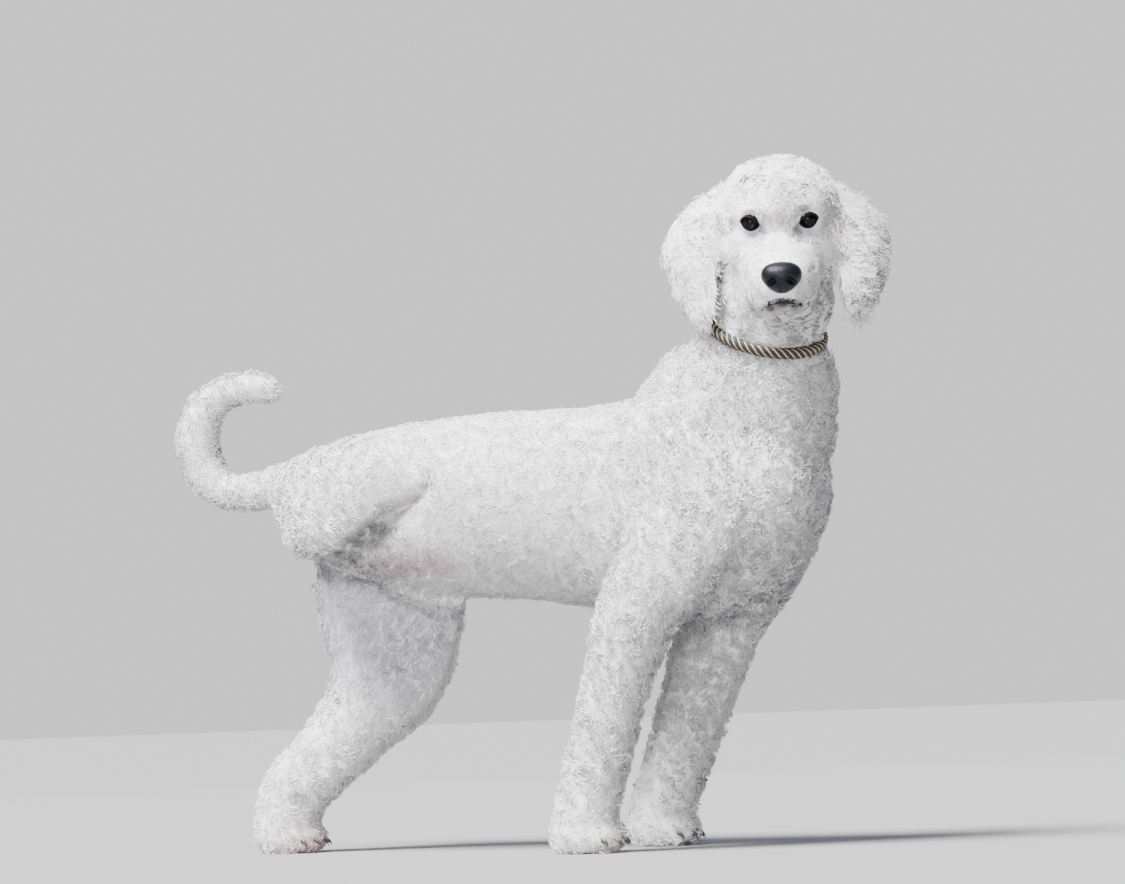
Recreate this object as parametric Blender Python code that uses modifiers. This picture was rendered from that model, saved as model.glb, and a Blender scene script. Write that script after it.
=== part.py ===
"""A standing white standard poodle that has lost its right hind leg, life size, in metres, +Z up.

The dog faces +X with its left side at +Y. Its head is turned towards its right and its tail curls up.
Sizes are those of the outline out to the tips of the coat. Where the coat is curly, the solid core lies
inside that outline, and rounded clumps of curls stand on it.
"""

import math
import random

import bmesh
import bpy
import numpy
from mathutils import Matrix, Vector
from mathutils.bvhtree import BVHTree

# Gap between two nodes that touch, and the place of the whole dog
GAP = 0.0003
SEAT_GROWTH = (0.0006, 0.0002, 0.0)
DOG_PLACE = (-0.0135, 0.0134, 0.0)

# Clumps of curls: how far they stand out of the core and how wide they are
BODY_CURL = (0.0110, 0.078)
LEG_CURL_WIDTH = 0.056
HEAD_CURL = (0.0090, 0.062)
EAR_CURL = (0.0070, 0.050)
CURL_SPACING = 0.61
CURL_ROOT = 0.010
CURL_VARIATION = 0.14
CURL_SEED = 11
CURL_TRIALS = 9000
# The curly coat runs forward from here along the trunk, and down from here along the hind leg
CURLS_FROM = (0.100, 0.180)
HIND_CURLS_BELOW = (0.240, 0.180)
FOOT_CURLS = (0.020, 0.080)
FOOT_CURL_SHARE = 0.5
LEG_CURLS_BELOW = (0.340, 0.290)
CURL_LEAST = 0.004

# Trunk: distance forward, top, bottom and half width of each section
TRUNK = [
    (-0.322, 0.494, 0.425, 0.044),
    (-0.300, 0.508, 0.394, 0.070),
    (-0.250, 0.525, 0.364, 0.092),
    (-0.180, 0.538, 0.344, 0.098),
    (-0.110, 0.544, 0.327, 0.094),
    (-0.040, 0.547, 0.316, 0.098),
    (0.040, 0.547, 0.309, 0.108),
    (0.110, 0.545, 0.296, 0.114),
    (0.180, 0.549, 0.283, 0.115),
    (0.250, 0.556, 0.277, 0.114),
    (0.320, 0.548, 0.288, 0.110),
    (0.380, 0.520, 0.325, 0.096),
    (0.409, 0.488, 0.370, 0.074),
]
TRUNK_WIDEST = 0.56
TRUNK_END = 0.012
TRUNK_END_SHARE = 0.5
# Rounded end of a tube: how far it goes on, and its width, as shares of the last section's
TUBE_END = (0.5, 0.55)

# Limbs, neck and tail: middle of each section, then its half size along and across the dog
NECK = [
    (0.250, 0.000, 0.430, 0.125, 0.098),
    (0.303, 0.002, 0.500, 0.120, 0.096),
    (0.347, 0.000, 0.560, 0.106, 0.088),
    (0.362, -0.008, 0.605, 0.081, 0.076),
    (0.372, -0.016, 0.632, 0.072, 0.069),
    (0.384, -0.023, 0.660, 0.072, 0.069),
    (0.392, -0.030, 0.690, 0.066, 0.064),
]
BREAST = ((0.352, 0.010, 0.497), (0.085, 0.088, 0.070))
FORELEG_RIGHT = [
    (0.225, -0.062, 0.500, 0.070, 0.045),
    (0.292, -0.076, 0.420, 0.076, 0.050),
    (0.262, -0.088, 0.345, 0.063, 0.050),
    (0.217, -0.091, 0.282, 0.050, 0.046),
    (0.180, -0.087, 0.185, 0.041, 0.039),
    (0.150, -0.083, 0.095, 0.039, 0.037),
    (0.133, -0.081, 0.040, 0.040, 0.038),
    (0.130, -0.081, 0.018, 0.041, 0.039),
]
FORELEG_LEFT = [
    (0.235, 0.062, 0.500, 0.070, 0.045),
    (0.312, 0.078, 0.415, 0.076, 0.050),
    (0.288, 0.090, 0.345, 0.066, 0.052),
    (0.247, 0.092, 0.280, 0.056, 0.048),
    (0.212, 0.087, 0.185, 0.047, 0.042),
    (0.179, 0.083, 0.095, 0.042, 0.039),
    (0.158, 0.081, 0.040, 0.041, 0.039),
    (0.154, 0.081, 0.018, 0.041, 0.039),
]
HIND_LEG = [
    (-0.215, 0.058, 0.450, 0.098, 0.055),
    (-0.212, 0.070, 0.365, 0.108, 0.056),
    (-0.212, 0.074, 0.290, 0.100, 0.052),
    (-0.222, 0.072, 0.225, 0.082, 0.047),
    (-0.262, 0.064, 0.168, 0.056, 0.041),
    (-0.315, 0.056, 0.118, 0.047, 0.038),
    (-0.353, 0.050, 0.080, 0.048, 0.039),
    (-0.366, 0.046, 0.040, 0.045, 0.039),
    (-0.367, 0.046, 0.018, 0.044, 0.039),
]
TAIL = [
    (-0.270, 0.000, 0.478, 0.040, 0.040),
    (-0.320, 0.000, 0.476, 0.031, 0.031),
    (-0.365, 0.000, 0.471, 0.026, 0.026),
    (-0.408, 0.000, 0.472, 0.024, 0.024),
    (-0.444, 0.000, 0.496, 0.027, 0.027),
    (-0.457, 0.000, 0.544, 0.030, 0.030),
    (-0.440, 0.000, 0.586, 0.026, 0.026),
    (-0.402, 0.000, 0.606, 0.023, 0.023),
    (-0.362, 0.000, 0.606, 0.022, 0.022),
    (-0.338, 0.000, 0.597, 0.016, 0.016),
]
SHEATH = [
    (-0.170, 0.000, 0.345, 0.020, 0.022),
    (-0.120, 0.000, 0.330, 0.023, 0.022),
    (-0.085, 0.000, 0.321, 0.022, 0.020),
    (-0.068, 0.000, 0.316, 0.014, 0.013),
]
# The crease below the stump: forward, sideways and up, then its half width twice
FOLD = [
    (-0.058, -0.092, 0.482, 0.004, 0.004),
    (-0.067, -0.095, 0.455, 0.007, 0.007),
    (-0.086, -0.094, 0.439, 0.009, 0.009),
    (-0.104, -0.092, 0.428, 0.010, 0.010),
    (-0.127, -0.091, 0.414, 0.012, 0.012),
    (-0.160, -0.086, 0.394, 0.012, 0.012),
    (-0.196, -0.074, 0.380, 0.011, 0.011),
    (-0.236, -0.057, 0.371, 0.010, 0.010),
    (-0.272, -0.040, 0.372, 0.006, 0.006),
]
# What is left of the right thigh: a rounded lobe that rises towards the flank
STUMP_PLACE = (-0.185, -0.062, 0.446)
STUMP_SIZE = (0.112, 0.053, 0.073)
STUMP_RISE = math.radians(22)

PAW_SIZE = (0.050, 0.040, 0.032)
PAW_PLACE = (0.006, 0.0, 0.021)
TOES = ((0.0210, -0.0245), (0.0292, -0.0083), (0.0284, 0.0078), (0.0224, 0.0238))
TOE_SPLAY = 11.0
TOE_SIZE = (0.018, 0.0100, 0.017)
TOE_HEIGHT = 0.013
CLAW_LENGTH = 0.014
CLAW_LEAN = math.radians(115)
CLAW_RADIUS = 0.0034

# Where the body is parted: a point on each cut, and the way it faces or leans
NECK_BASE = ((0.190, 0.0, 0.560), (0.363, 0.0, 0.932))
COLLAR_TO_HEAD = 0.013
TAIL_ROOT = -0.336
TAIL_SPLIT = 0.520
TAIL_REACH = 0.1
TAIL_BELOW = 0.40
ELBOW_LEAN = math.radians(20)
ELBOW_DROP = 0.020
FORELEG_DEEP = 0.085
FORELEG_INNER = 0.030
FORELEG_OUTER = 0.2
ANKLE_HEIGHT = 0.062
THIGH_TOP = (-0.210, 0.012, 0.338)
THIGH_LEAN = math.radians(11)
THIGH_FRONT = 0.128
KNEE_CUT = (-0.240, 0.066, 0.200)
KNEE_LEAN = math.radians(32)
STUMP_SPACE = ((-0.112, -0.150, -0.090), (0.118, 0.018, 0.060))
FAR = 0.8
ROUGH_CUT = 0.004

# Head: measured from the point midway between the eyes, x forward, y to its left, z up
HEAD_PLACE = (0.416, -0.070, 0.740)
HEAD_TURN = math.radians(-67)
HEAD_NOD = math.radians(22)
SKULL = ((-0.058, 0.0, 0.009), (0.090, 0.071, 0.053))
CHEEK = ((-0.022, 0.032, -0.046), (0.052, 0.041, 0.046))
THROAT = ((-0.020, 0.003, -0.078), (0.056, 0.054, 0.032))
# Muzzle: middle of each section, then its half height and half width
MUZZLE = [
    (-0.050, 0.0, -0.040, 0.050, 0.058),
    (-0.010, 0.0, -0.045, 0.049, 0.055),
    (0.030, 0.0, -0.053, 0.045, 0.048),
    (0.066, 0.0, -0.060, 0.044, 0.043),
    (0.088, 0.0, -0.063, 0.039, 0.037),
    (0.098, 0.0, -0.064, 0.029, 0.027),
]
EYE = (0.0020, 0.0335, 0.0015)
EYE_RADIUS = 0.0120
EYE_OUTWARD = math.radians(10)
LID_THICKNESS = 0.0024
EYE_OPENING = (0.0100, 0.0072)
EYE_OPENING_FORWARD = 0.022
EYE_OPENING_DEPTH = 0.020
NOSE = (0.106, 0.0, -0.0405)
NOSE_SIZE = (0.020, 0.0235, 0.0195)
NOSTRIL_FORWARD = 0.86
NOSTRIL = (0.0100, -0.0010)
NOSTRIL_SIZE = (0.0060, 0.0040, 0.0048)
# Mouth line: seen from a point inside the muzzle, it runs round to a corner on each side
MOUTH_MIDDLE = (0.055, 0.0, -0.074)
MOUTH_CORNER = math.radians(68)
MOUTH_DROOP = 0.010
MOUTH_GROOVE = 0.0019
LIP_RADIUS = 0.0036
# Ear flap: forward, sideways and up, then half length and half thickness of the section
EAR = [
    (-0.058, 0.054, 0.024, 0.026, 0.013),
    (-0.056, 0.074, 0.009, 0.036, 0.019),
    (-0.047, 0.092, -0.014, 0.044, 0.026),
    (-0.029, 0.099, -0.038, 0.046, 0.027),
    (-0.005, 0.096, -0.066, 0.040, 0.022),
    (0.014, 0.091, -0.088, 0.026, 0.015),
    (0.020, 0.089, -0.098, 0.013, 0.009),
]
EAR_TURN = math.radians(40)
EAR_END_SHARE = 0.5
EAR_END_LIFTS = (0.006, -0.004)
EAR_INNER = 0.55
EAR_CURLS_FACING = 0.45
EAR_CLEARING = (0.050, 0.030, 0.045)
HEAD_CURLS_BEHIND = 0.005
HEAD_CURLS_ABOVE = 0.020
HEAD_CURLS_BELOW = -0.115
EYE_CLEARING = 0.034
EAR_SPREAD = {-1: 1.045, 1: 0.960}
EAR_LENGTH = {-1: 1.17, 1: 1.18}
EAR_CUP = 0.45

COLLAR_PLACE = (0.370, -0.018, 0.620)
COLLAR_FACING = (0.41, -0.38, 0.92)
COLLAR_RING = 0.0690
COLLAR_SQUASH = 1.03
COLLAR_RADIUS = 0.0065

COAT = ("Coat_white", (0.86, 0.84, 0.82), 0.9)
SKIN_DARK = ("Nose_black", (0.02, 0.02, 0.028), 0.35)
EYE_DARK = ("Eye_dark", (0.015, 0.010, 0.008), 0.08)
CORD = ("Collar_cord", (0.20, 0.15, 0.06), 0.6)

BODY_VOXEL = 0.0065
HEAD_VOXEL = 0.0045
SMOOTHING = 6
SMOOTHING_SHARE = 0.5
BODY_TRIANGLES = 3200
HEAD_TRIANGLES = 1200
CURLED_BODY_TRIANGLES = 7900
CURLED_HEAD_TRIANGLES = 2000
FINISHED_HEAD_TRIANGLES = 2200
CURLED_EAR_TRIANGLES = 500
CORD_STEPS = 8
# Facets round and along each kind of ball
EYE_FACETS = (12, 8)
NOSE_FACETS = (16, 10)
NOSTRIL_FACETS = (10, 6)
TOE_FACETS = (8, 6)
CLUMP_FACETS = (6, 4)
CLAW_SIDES = 5
CLAW_TIP_SHARE = 0.25


def new_collection(name):
    made = bpy.data.collections.new(name)
    bpy.context.scene.collection.children.link(made)
    return made


def paint(obj, spec):
    """Gives an object its one material."""
    name, colour, roughness = spec
    made = bpy.data.materials.get(name) or bpy.data.materials.new(name)
    made.use_nodes = True
    shader = made.node_tree.nodes["Principled BSDF"]
    shader.inputs["Base Color"].default_value = (*colour, 1.0)
    shader.inputs["Roughness"].default_value = roughness
    shader.inputs["Metallic"].default_value = 0.0
    obj.data.materials.clear()
    obj.data.materials.append(made)


def to_object(work, name, home):
    """Makes an object of a bmesh, in triangles, with every face turned out."""
    bmesh.ops.triangulate(work, faces=work.faces)
    bmesh.ops.recalc_face_normals(work, faces=work.faces)
    mesh = bpy.data.meshes.new(name)
    work.to_mesh(mesh)
    work.free()
    made = bpy.data.objects.new(name, mesh)
    home.objects.link(made)
    return made


def duplicate(obj, name, home):
    made = bpy.data.objects.new(name, obj.data.copy())
    home.objects.link(made)
    return made


def apply_modifiers(obj):
    bpy.context.view_layer.update()
    graph = bpy.context.evaluated_depsgraph_get()
    mesh = bpy.data.meshes.new_from_object(obj.evaluated_get(graph))
    obj.modifiers.clear()
    obj.data = mesh


def combine(obj, operation, others):
    """Unites obj with other closed meshes, cuts it by them or keeps what lies in them. The others go."""
    if not others:
        return obj
    group = new_collection("Operands")
    for other in others:
        for old in list(other.users_collection):
            old.objects.unlink(other)
        group.objects.link(other)
    step = obj.modifiers.new(operation, "BOOLEAN")
    step.operation = operation
    step.solver = "MANIFOLD"
    step.operand_type = "COLLECTION"
    step.collection = group
    apply_modifiers(obj)
    for other in others:
        bpy.data.objects.remove(other)
    bpy.data.collections.remove(group)
    return obj


def keep_largest(obj):
    """Keeps the largest closed surface of a mesh, in triangles, without fins of no thickness."""
    work = bmesh.new()
    work.from_mesh(obj.data)
    bmesh.ops.triangulate(work, faces=work.faces)
    twins = {}
    for face in work.faces:
        twins.setdefault(frozenset(face.verts), []).append(face)
    fins = [face for pair in twins.values() if len(pair) > 1 for face in pair]
    bmesh.ops.delete(work, geom=fins, context="FACES")
    left = set(work.verts)
    shells = []
    while left:
        start = left.pop()
        shell = {start}
        front = [start]
        while front:
            for link in front.pop().link_edges:
                for vert in link.verts:
                    if vert in left:
                        left.remove(vert)
                        shell.add(vert)
                        front.append(vert)
        shells.append(shell)

    def volume(shell):
        faces = {face for vert in shell for face in vert.link_faces}
        return sum(f.verts[0].co.dot(f.verts[1].co.cross(f.verts[2].co)) for f in faces)

    best = max(shells, key=volume)
    scraps = [vert for shell in shells if shell is not best for vert in shell]
    bmesh.ops.delete(work, geom=scraps, context="VERTS")
    work.to_mesh(obj.data)
    work.free()
    return obj


def smooth_rows(rows, between):
    """More rows, read from one smooth curve through the given ones."""
    rows = [Vector(row) for row in rows]
    rows = [2 * rows[0] - rows[1], *rows, 2 * rows[-1] - rows[-2]]
    found = []
    for a, b, c, d in zip(rows, rows[1:], rows[2:], rows[3:]):
        for k in range(between):
            t = k / between
            bend = (c - a) * t + (2 * a - 5 * b + 4 * c - d) * t ** 2 + (3 * b - a - 3 * c + d) * t ** 3
            found.append(b + 0.5 * bend)
    found.append(rows[-2])
    return found


def loft(name, rings, home):
    """A closed mesh through rings of points, with a point amid each end."""
    work = bmesh.new()
    loops = [[work.verts.new(p) for p in ring] for ring in rings]
    count = len(loops[0])
    for low, high in zip(loops, loops[1:]):
        for k in range(count):
            n = (k + 1) % count
            work.faces.new((low[k], low[n], high[n], high[k]))
    for end in (loops[0], loops[-1]):
        centre = work.verts.new(sum((v.co for v in end), Vector()) / count)
        for k in range(count):
            work.faces.new((end[k], end[(k + 1) % count], centre))
    return to_object(work, name, home)


def ramp(value, start, end):
    """Rises from 0 at start to 1 at end."""
    return min(max((value - start) / (end - start), 0.0), 1.0)


def body_curl(place):
    """How far the curls stand out of the core at a place on the body."""
    front = ramp(place[0], *CURLS_FROM)
    hind = ramp(place[2], *HIND_CURLS_BELOW) * (place[0] < 0)
    foot = FOOT_CURL_SHARE + (1 - FOOT_CURL_SHARE) * ramp(place[2], *FOOT_CURLS)
    return BODY_CURL[0] * max(front, hind) * foot


def trunk(home, around=28, between=3):
    """The trunk. Its sections are egg-shaped, with the widest line above the middle."""
    rows = smooth_rows(TRUNK, between)
    for row in rows:
        depth = body_curl((row[0], 0, row[2]))
        row[1:] = (row[1] - depth, row[2] + depth, row[3] - depth)
    shapes = [(row, 1.0, 0.0) for row in rows]
    shapes.insert(0, (rows[0], TRUNK_END_SHARE, -TRUNK_END))
    shapes.append((rows[-1], TRUNK_END_SHARE, TRUNK_END))
    rings = []
    for (x, top, bottom, half), share, push in shapes:
        widest = bottom + TRUNK_WIDEST * (top - bottom)
        ring = []
        for k in range(around):
            angle = 2 * math.pi * k / around
            reach = top - widest if math.sin(angle) > 0 else widest - bottom
            high = widest + reach * share * math.sin(angle)
            ring.append((x + push, half * share * math.cos(angle), high))
        rings.append(ring)
    return loft("trunk", rings, home)


def tube(name, rows, home, curl=lambda place: 0.0, around=20, frame=Matrix(), between=4):
    """A closed tube with oval sections square to its path and rounded ends, as deep in as its curls."""
    rows = smooth_rows(rows, between)
    end, end_share = TUBE_END
    rings = []
    for i, row in enumerate(rows):
        ahead = Vector(rows[min(i + 1, len(rows) - 1)][:3]) - Vector(rows[max(i - 1, 0)][:3])
        along = ahead.normalized()
        across = Vector((0, 1, 0))
        across = (across - along * across.dot(along)).normalized()
        fore = across.cross(along)
        shapes = [(0.0, 1.0)]
        if i == 0:
            shapes = [(-end, end_share), (0.0, 1.0)]
        if i == len(rows) - 1:
            shapes = [(0.0, 1.0), (end, end_share)]
        for push, share in shapes:
            centre = Vector(row[:3]) + along * push * row[3]
            depth = curl(row)
            long, wide = (row[3] - depth) * share, (row[4] - depth) * share
            angles = [2 * math.pi * k / around for k in range(around)]
            oval = [fore * (long * math.cos(a)) + across * (wide * math.sin(a)) for a in angles]
            rings.append([frame @ (centre + place) for place in oval])
    return loft(name, rings, home)


def ball(name, place, size, home, frame=None, facets=(20, 12)):
    """An ellipsoid at a place of a frame."""
    work = bmesh.new()
    bmesh.ops.create_uvsphere(work, u_segments=facets[0], v_segments=facets[1], radius=1.0)
    work.transform((frame or Matrix()) @ Matrix.Translation(place) @ Matrix.Diagonal((*size, 1.0)))
    return to_object(work, name, home)


def box(name, low, high, home, frame=None):
    """A box between two corners of a frame."""
    work = bmesh.new()
    bmesh.ops.create_cube(work, size=1.0)
    for vert in work.verts:
        vert.co = [h if c > 0 else l for l, h, c in zip(low, high, vert.co)]
    work.transform(frame or Matrix())
    return to_object(work, name, home)


def ring(name, frame, radius, thick, home, squash=1.0, around=28, sides=6):
    """A closed ring about the z axis of a frame."""
    work = bmesh.new()
    loops = []
    for i in range(around):
        turn = 2 * math.pi * i / around
        loop = []
        for k in range(sides):
            a = 2 * math.pi * k / sides
            reach = radius + thick * math.cos(a)
            spot = Vector((reach * math.cos(turn), squash * reach * math.sin(turn), thick * math.sin(a)))
            loop.append(work.verts.new(frame @ spot))
        loops.append(loop)
    for i in range(around):
        here, there = loops[i], loops[(i + 1) % around]
        for k in range(sides):
            n = (k + 1) % sides
            work.faces.new((here[k], here[n], there[n], there[k]))
    return to_object(work, name, home)


def thin_out(obj, triangles):
    """Lowers a mesh to about this many triangles, the least telling ones first."""
    thin = obj.modifiers.new("thin", "DECIMATE")
    thin.ratio = min(triangles / sum(len(face.vertices) - 2 for face in obj.data.polygons), 1.0)
    apply_modifiers(obj)
    return obj


def melt(obj, voxel, triangles):
    """Runs fused pieces into one smooth skin of about this many triangles."""
    skin = obj.modifiers.new("skin", "REMESH")
    skin.mode = "VOXEL"
    skin.voxel_size = voxel
    smooth = obj.modifiers.new("smooth", "SMOOTH")
    smooth.factor = SMOOTHING_SHARE
    smooth.iterations = SMOOTHING
    apply_modifiers(obj)
    return thin_out(obj, triangles)


def add_curls(core, curl_at, triangles, home):
    """Fuses rounded clumps of curls to a core, spread evenly, as high and as wide as curl_at says."""
    chance = random.Random(CURL_SEED)
    mesh = core.data
    mesh.calc_loop_triangles()
    corners = [[mesh.vertices[i].co for i in tri.vertices] for tri in mesh.loop_triangles]
    normals = [tri.normal.copy() for tri in mesh.loop_triangles]
    areas = [tri.area for tri in mesh.loop_triangles]
    spots = []
    for index in chance.choices(range(len(areas)), areas, k=CURL_TRIALS):
        a, b, c = corners[index]
        u, v = sorted((chance.random(), chance.random()))
        place = a * u + b * (v - u) + c * (1 - v)
        depth, width = curl_at(place, normals[index])
        if depth > CURL_LEAST:
            spots.append((place, normals[index], depth, width))
    places = numpy.array([spot[0] for spot in spots])
    reach = numpy.array([spot[3] for spot in spots]) * CURL_SPACING
    away = numpy.full(len(spots), numpy.inf)
    chosen = []
    while (away > reach).any():
        chosen.append(int((away / reach).argmax()))
        away = numpy.minimum(away, numpy.linalg.norm(places - places[chosen[-1]], axis=1))
    clumps = []
    for place, normal, depth, width in (spots[i] for i in chosen):
        lean = Vector([chance.uniform(-CURL_VARIATION, CURL_VARIATION) for _ in range(3)])
        turn = plane_frame(place, normal + lean) @ Matrix.Rotation(chance.uniform(0, math.tau), 4, "Z")
        across, along, tall = (chance.uniform(1 - CURL_VARIATION, 1 + CURL_VARIATION) for _ in range(3))
        size = (across * width / 2, along * width / 2, CURL_ROOT + tall * depth)
        clumps.append(ball("clump", (0, 0, -CURL_ROOT), size, home, turn, CLUMP_FACETS))
    return thin_out(combine(core, "UNION", clumps), triangles)


def curls_on_body(place, normal):
    width = BODY_CURL[1] + (LEG_CURL_WIDTH - BODY_CURL[1]) * ramp(place.z, *LEG_CURLS_BELOW)
    above = (neck_top().inverted() @ place).z
    bare = above > 0 or place.z < FOOT_CURLS[0]
    return (0.0 if bare else body_curl(place)), width


def curls_on_head(place, normal):
    """Curls stand on the topknot, the cheeks and the throat, clear of eyes, nose, mouth and ears."""
    local = head_frame().inverted() @ place
    if local.x > HEAD_CURLS_BEHIND and HEAD_CURLS_BELOW < local.z < HEAD_CURLS_ABOVE:
        return 0.0, 1.0
    if min((local - mirrored(EYE, side)).length for side in (-1, 1)) < EYE_CLEARING:
        return 0.0, 1.0
    fore, out, top = EAR_CLEARING
    if abs(local.x - EAR[1][0]) < fore and abs(local.y) > out and local.z < top:
        return 0.0, 1.0
    return HEAD_CURL


def curls_on_ear(side):
    out = head_frame().to_3x3() @ Vector((math.sin(side * EAR_TURN), math.cos(side * EAR_TURN), 0)) * side
    return lambda place, normal: (EAR_CURL[0] * (normal.dot(out) > EAR_CURLS_FACING), EAR_CURL[1])


def stump_frame():
    return Matrix.Translation(STUMP_PLACE) @ Matrix.Rotation(-STUMP_RISE, 4, "Y")


def body_skin(home):
    """The whole body without its head, as one closed skin."""
    skin = trunk(home)
    pieces = [
        tube("neck", NECK, home, body_curl, 24),
        tube("foreleg_r", FORELEG_RIGHT, home, body_curl),
        tube("foreleg_l", FORELEG_LEFT, home, body_curl),
        tube("hind_leg", HIND_LEG, home, body_curl),
        tube("tail", TAIL, home, around=14),
        tube("sheath", SHEATH, home, around=12),
        ball("stump", (0, 0, 0), STUMP_SIZE, home, stump_frame()),
        ball("breast", BREAST[0], [s - HEAD_CURL[0] for s in BREAST[1]], home),
    ]
    for leg in (FORELEG_RIGHT, FORELEG_LEFT, HIND_LEG):
        foot = Matrix.Translation((leg[-1][0], leg[-1][1], 0.0))
        pieces.append(ball("foot", PAW_PLACE, PAW_SIZE, home, foot))
    combine(skin, "UNION", pieces)
    combine(skin, "DIFFERENCE", [tube("fold", FOLD, home, around=12)])
    melt(skin, BODY_VOXEL, BODY_TRIANGLES)
    return add_curls(skin, curls_on_body, CURLED_BODY_TRIANGLES, home)


def plane_frame(point, normal):
    """A frame at a point, with its z axis along the normal."""
    return Matrix.Translation(point) @ Vector(normal).to_track_quat("Z", "Y").to_matrix().to_4x4()


def neck_top():
    """The plane between neck and head, just above the collar."""
    return plane_frame(COLLAR_PLACE, COLLAR_FACING) @ Matrix.Translation((0, 0, COLLAR_TO_HEAD))


def limbs():
    """The space of each limb, as a frame and two corners of a box in it."""
    found = {
        "neck": (plane_frame(*NECK_BASE), (-FAR, -FAR, 0.0), (FAR, FAR, FAR)),
        "tail": (Matrix(), (-FAR, -TAIL_REACH, TAIL_BELOW), (TAIL_ROOT, TAIL_REACH, FAR)),
        "stump": (stump_frame(), *STUMP_SPACE),
        "hind_leg": (
            Matrix.Translation(THIGH_TOP) @ Matrix.Rotation(THIGH_LEAN, 4, "Y"),
            (-FAR, 0.0, -FAR),
            (THIGH_FRONT, FAR, 0.0),
        ),
    }
    for name, rows, sign in (("foreleg_right", FORELEG_RIGHT, -1), ("foreleg_left", FORELEG_LEFT, 1)):
        elbow = Matrix.Translation((rows[2][0], 0.0, rows[2][2] - ELBOW_DROP))
        inner, outer = sorted((sign * FORELEG_INNER, sign * FORELEG_OUTER))
        elbow = elbow @ Matrix.Rotation(ELBOW_LEAN, 4, "Y")
        found[name] = (elbow, (-FORELEG_DEEP, inner, -FAR), (FORELEG_DEEP, outer, 0.0))
    return found


def slices():
    """For each node of a limb: the limb, and the box that holds the node's length of it."""
    upright = Matrix()
    knee = Matrix.Translation(KNEE_CUT) @ Matrix.Rotation(KNEE_LEAN, 4, "Y")
    above = (upright, (-FAR, -FAR, ANKLE_HEIGHT), (FAR, FAR, FAR))
    foot = (upright, (-FAR, -FAR, -GAP / 2), (FAR, FAR, ANKLE_HEIGHT))
    return {
        "neck": ("neck", [(neck_top(), (-FAR, -FAR, -FAR), (FAR, FAR, 0.0))]),
        "tail_base": ("tail", [(upright, (-FAR, -FAR, -FAR), (FAR, FAR, TAIL_SPLIT))]),
        "tail_curl": ("tail", [(upright, (-FAR, -FAR, TAIL_SPLIT), (FAR, FAR, FAR))]),
        "stump_right": ("stump", []),
        "foreleg_right": ("foreleg_right", [above]),
        "paw_fore_right": ("foreleg_right", [foot]),
        "foreleg_left": ("foreleg_left", [above]),
        "paw_fore_left": ("foreleg_left", [foot]),
        "thigh_left": ("hind_leg", [(knee, (-FAR, -FAR, 0.0), (FAR, FAR, FAR))]),
        "lower_leg_left": ("hind_leg", [(knee, (-FAR, -FAR, -FAR), (FAR, FAR, 0.0)), above]),
        "paw_hind_left": ("hind_leg", [foot]),
    }


def trim(node, name, home, back=GAP / 2):
    """Cuts a body node to its own space, this far back from each cut."""
    spaces = limbs()
    if name == "torso":
        for frame, low, high in spaces.values():
            cutter = box("limb", [c - back for c in low], [c + back for c in high], home, frame)
            combine(node, "DIFFERENCE", [cutter])
        return node
    limb, lengths = slices()[name]
    for frame, low, high in [spaces[limb], *lengths]:
        kept = box("kept", [c + back for c in low], [c - back for c in high], home, frame)
        combine(node, "INTERSECT", [kept])
    return node


def head_frame():
    """The head's own axes: x forward, y to its left, z up, from midway between the eyes."""
    turn = Matrix.Rotation(HEAD_TURN, 4, "Z") @ Matrix.Rotation(HEAD_NOD, 4, "Y")
    return Matrix.Translation(HEAD_PLACE) @ turn


def mirrored(place, side):
    return Vector((place[0], side * place[1], place[2]))


def eye_frame(side):
    """An eye's middle, with x the way it looks."""
    place = Matrix.Translation(mirrored(EYE, side))
    return head_frame() @ place @ Matrix.Rotation(side * EYE_OUTWARD, 4, "Z")


def cord(name, points, radius, home):
    """A closed round cord through points."""
    path = bpy.data.curves.new(name, "CURVE")
    path.dimensions = "3D"
    path.bevel_depth = radius
    path.bevel_resolution = 1
    path.use_fill_caps = True
    line = path.splines.new("POLY")
    line.points.add(len(points) - 1)
    for spot, point in zip(line.points, points):
        spot.co = (*point, 1.0)
    drawn = bpy.data.objects.new(name, path)
    home.objects.link(drawn)
    bpy.context.view_layer.update()
    mesh = bpy.data.meshes.new_from_object(drawn.evaluated_get(bpy.context.evaluated_depsgraph_get()))
    bpy.data.objects.remove(drawn)
    work = bmesh.new()
    work.from_mesh(mesh)
    bmesh.ops.remove_doubles(work, verts=work.verts, dist=1e-6)
    return to_object(work, name, home)


def ear_flap(name, side, home, around=12):
    """A hanging ear flap, hollowed on the side towards the cheek."""
    rows = smooth_rows(EAR, 2)
    turn = side * EAR_TURN
    fore = Vector((math.cos(turn), -math.sin(turn), 0))
    out = Vector((math.sin(turn), math.cos(turn), 0)) * side
    shapes = [(row, 1.0, 0.0) for row in rows]
    shapes.insert(0, (rows[0], EAR_END_SHARE, EAR_END_LIFTS[0]))
    shapes.append((rows[-1], EAR_END_SHARE, EAR_END_LIFTS[1]))
    rings = []
    for row, share, lift in shapes:
        long, thick = row[3] - EAR_CURL[0] / 2, row[4] - EAR_CURL[0] / 2
        centre = Vector((row[0], side * row[1] * EAR_SPREAD[side], row[2] * EAR_LENGTH[side]))
        centre.z += lift
        ring_points = []
        for k in range(around):
            angle = 2 * math.pi * k / around
            along, bulge = math.cos(angle), math.sin(angle)
            depth = thick * bulge
            if bulge < 0:
                depth = EAR_INNER * thick * bulge + EAR_CUP * thick * bulge * bulge
            ring_points.append(head_frame() @ (centre + share * (fore * long * along + out * depth)))
        rings.append(ring_points)
    return loft(name, rings, home)


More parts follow.
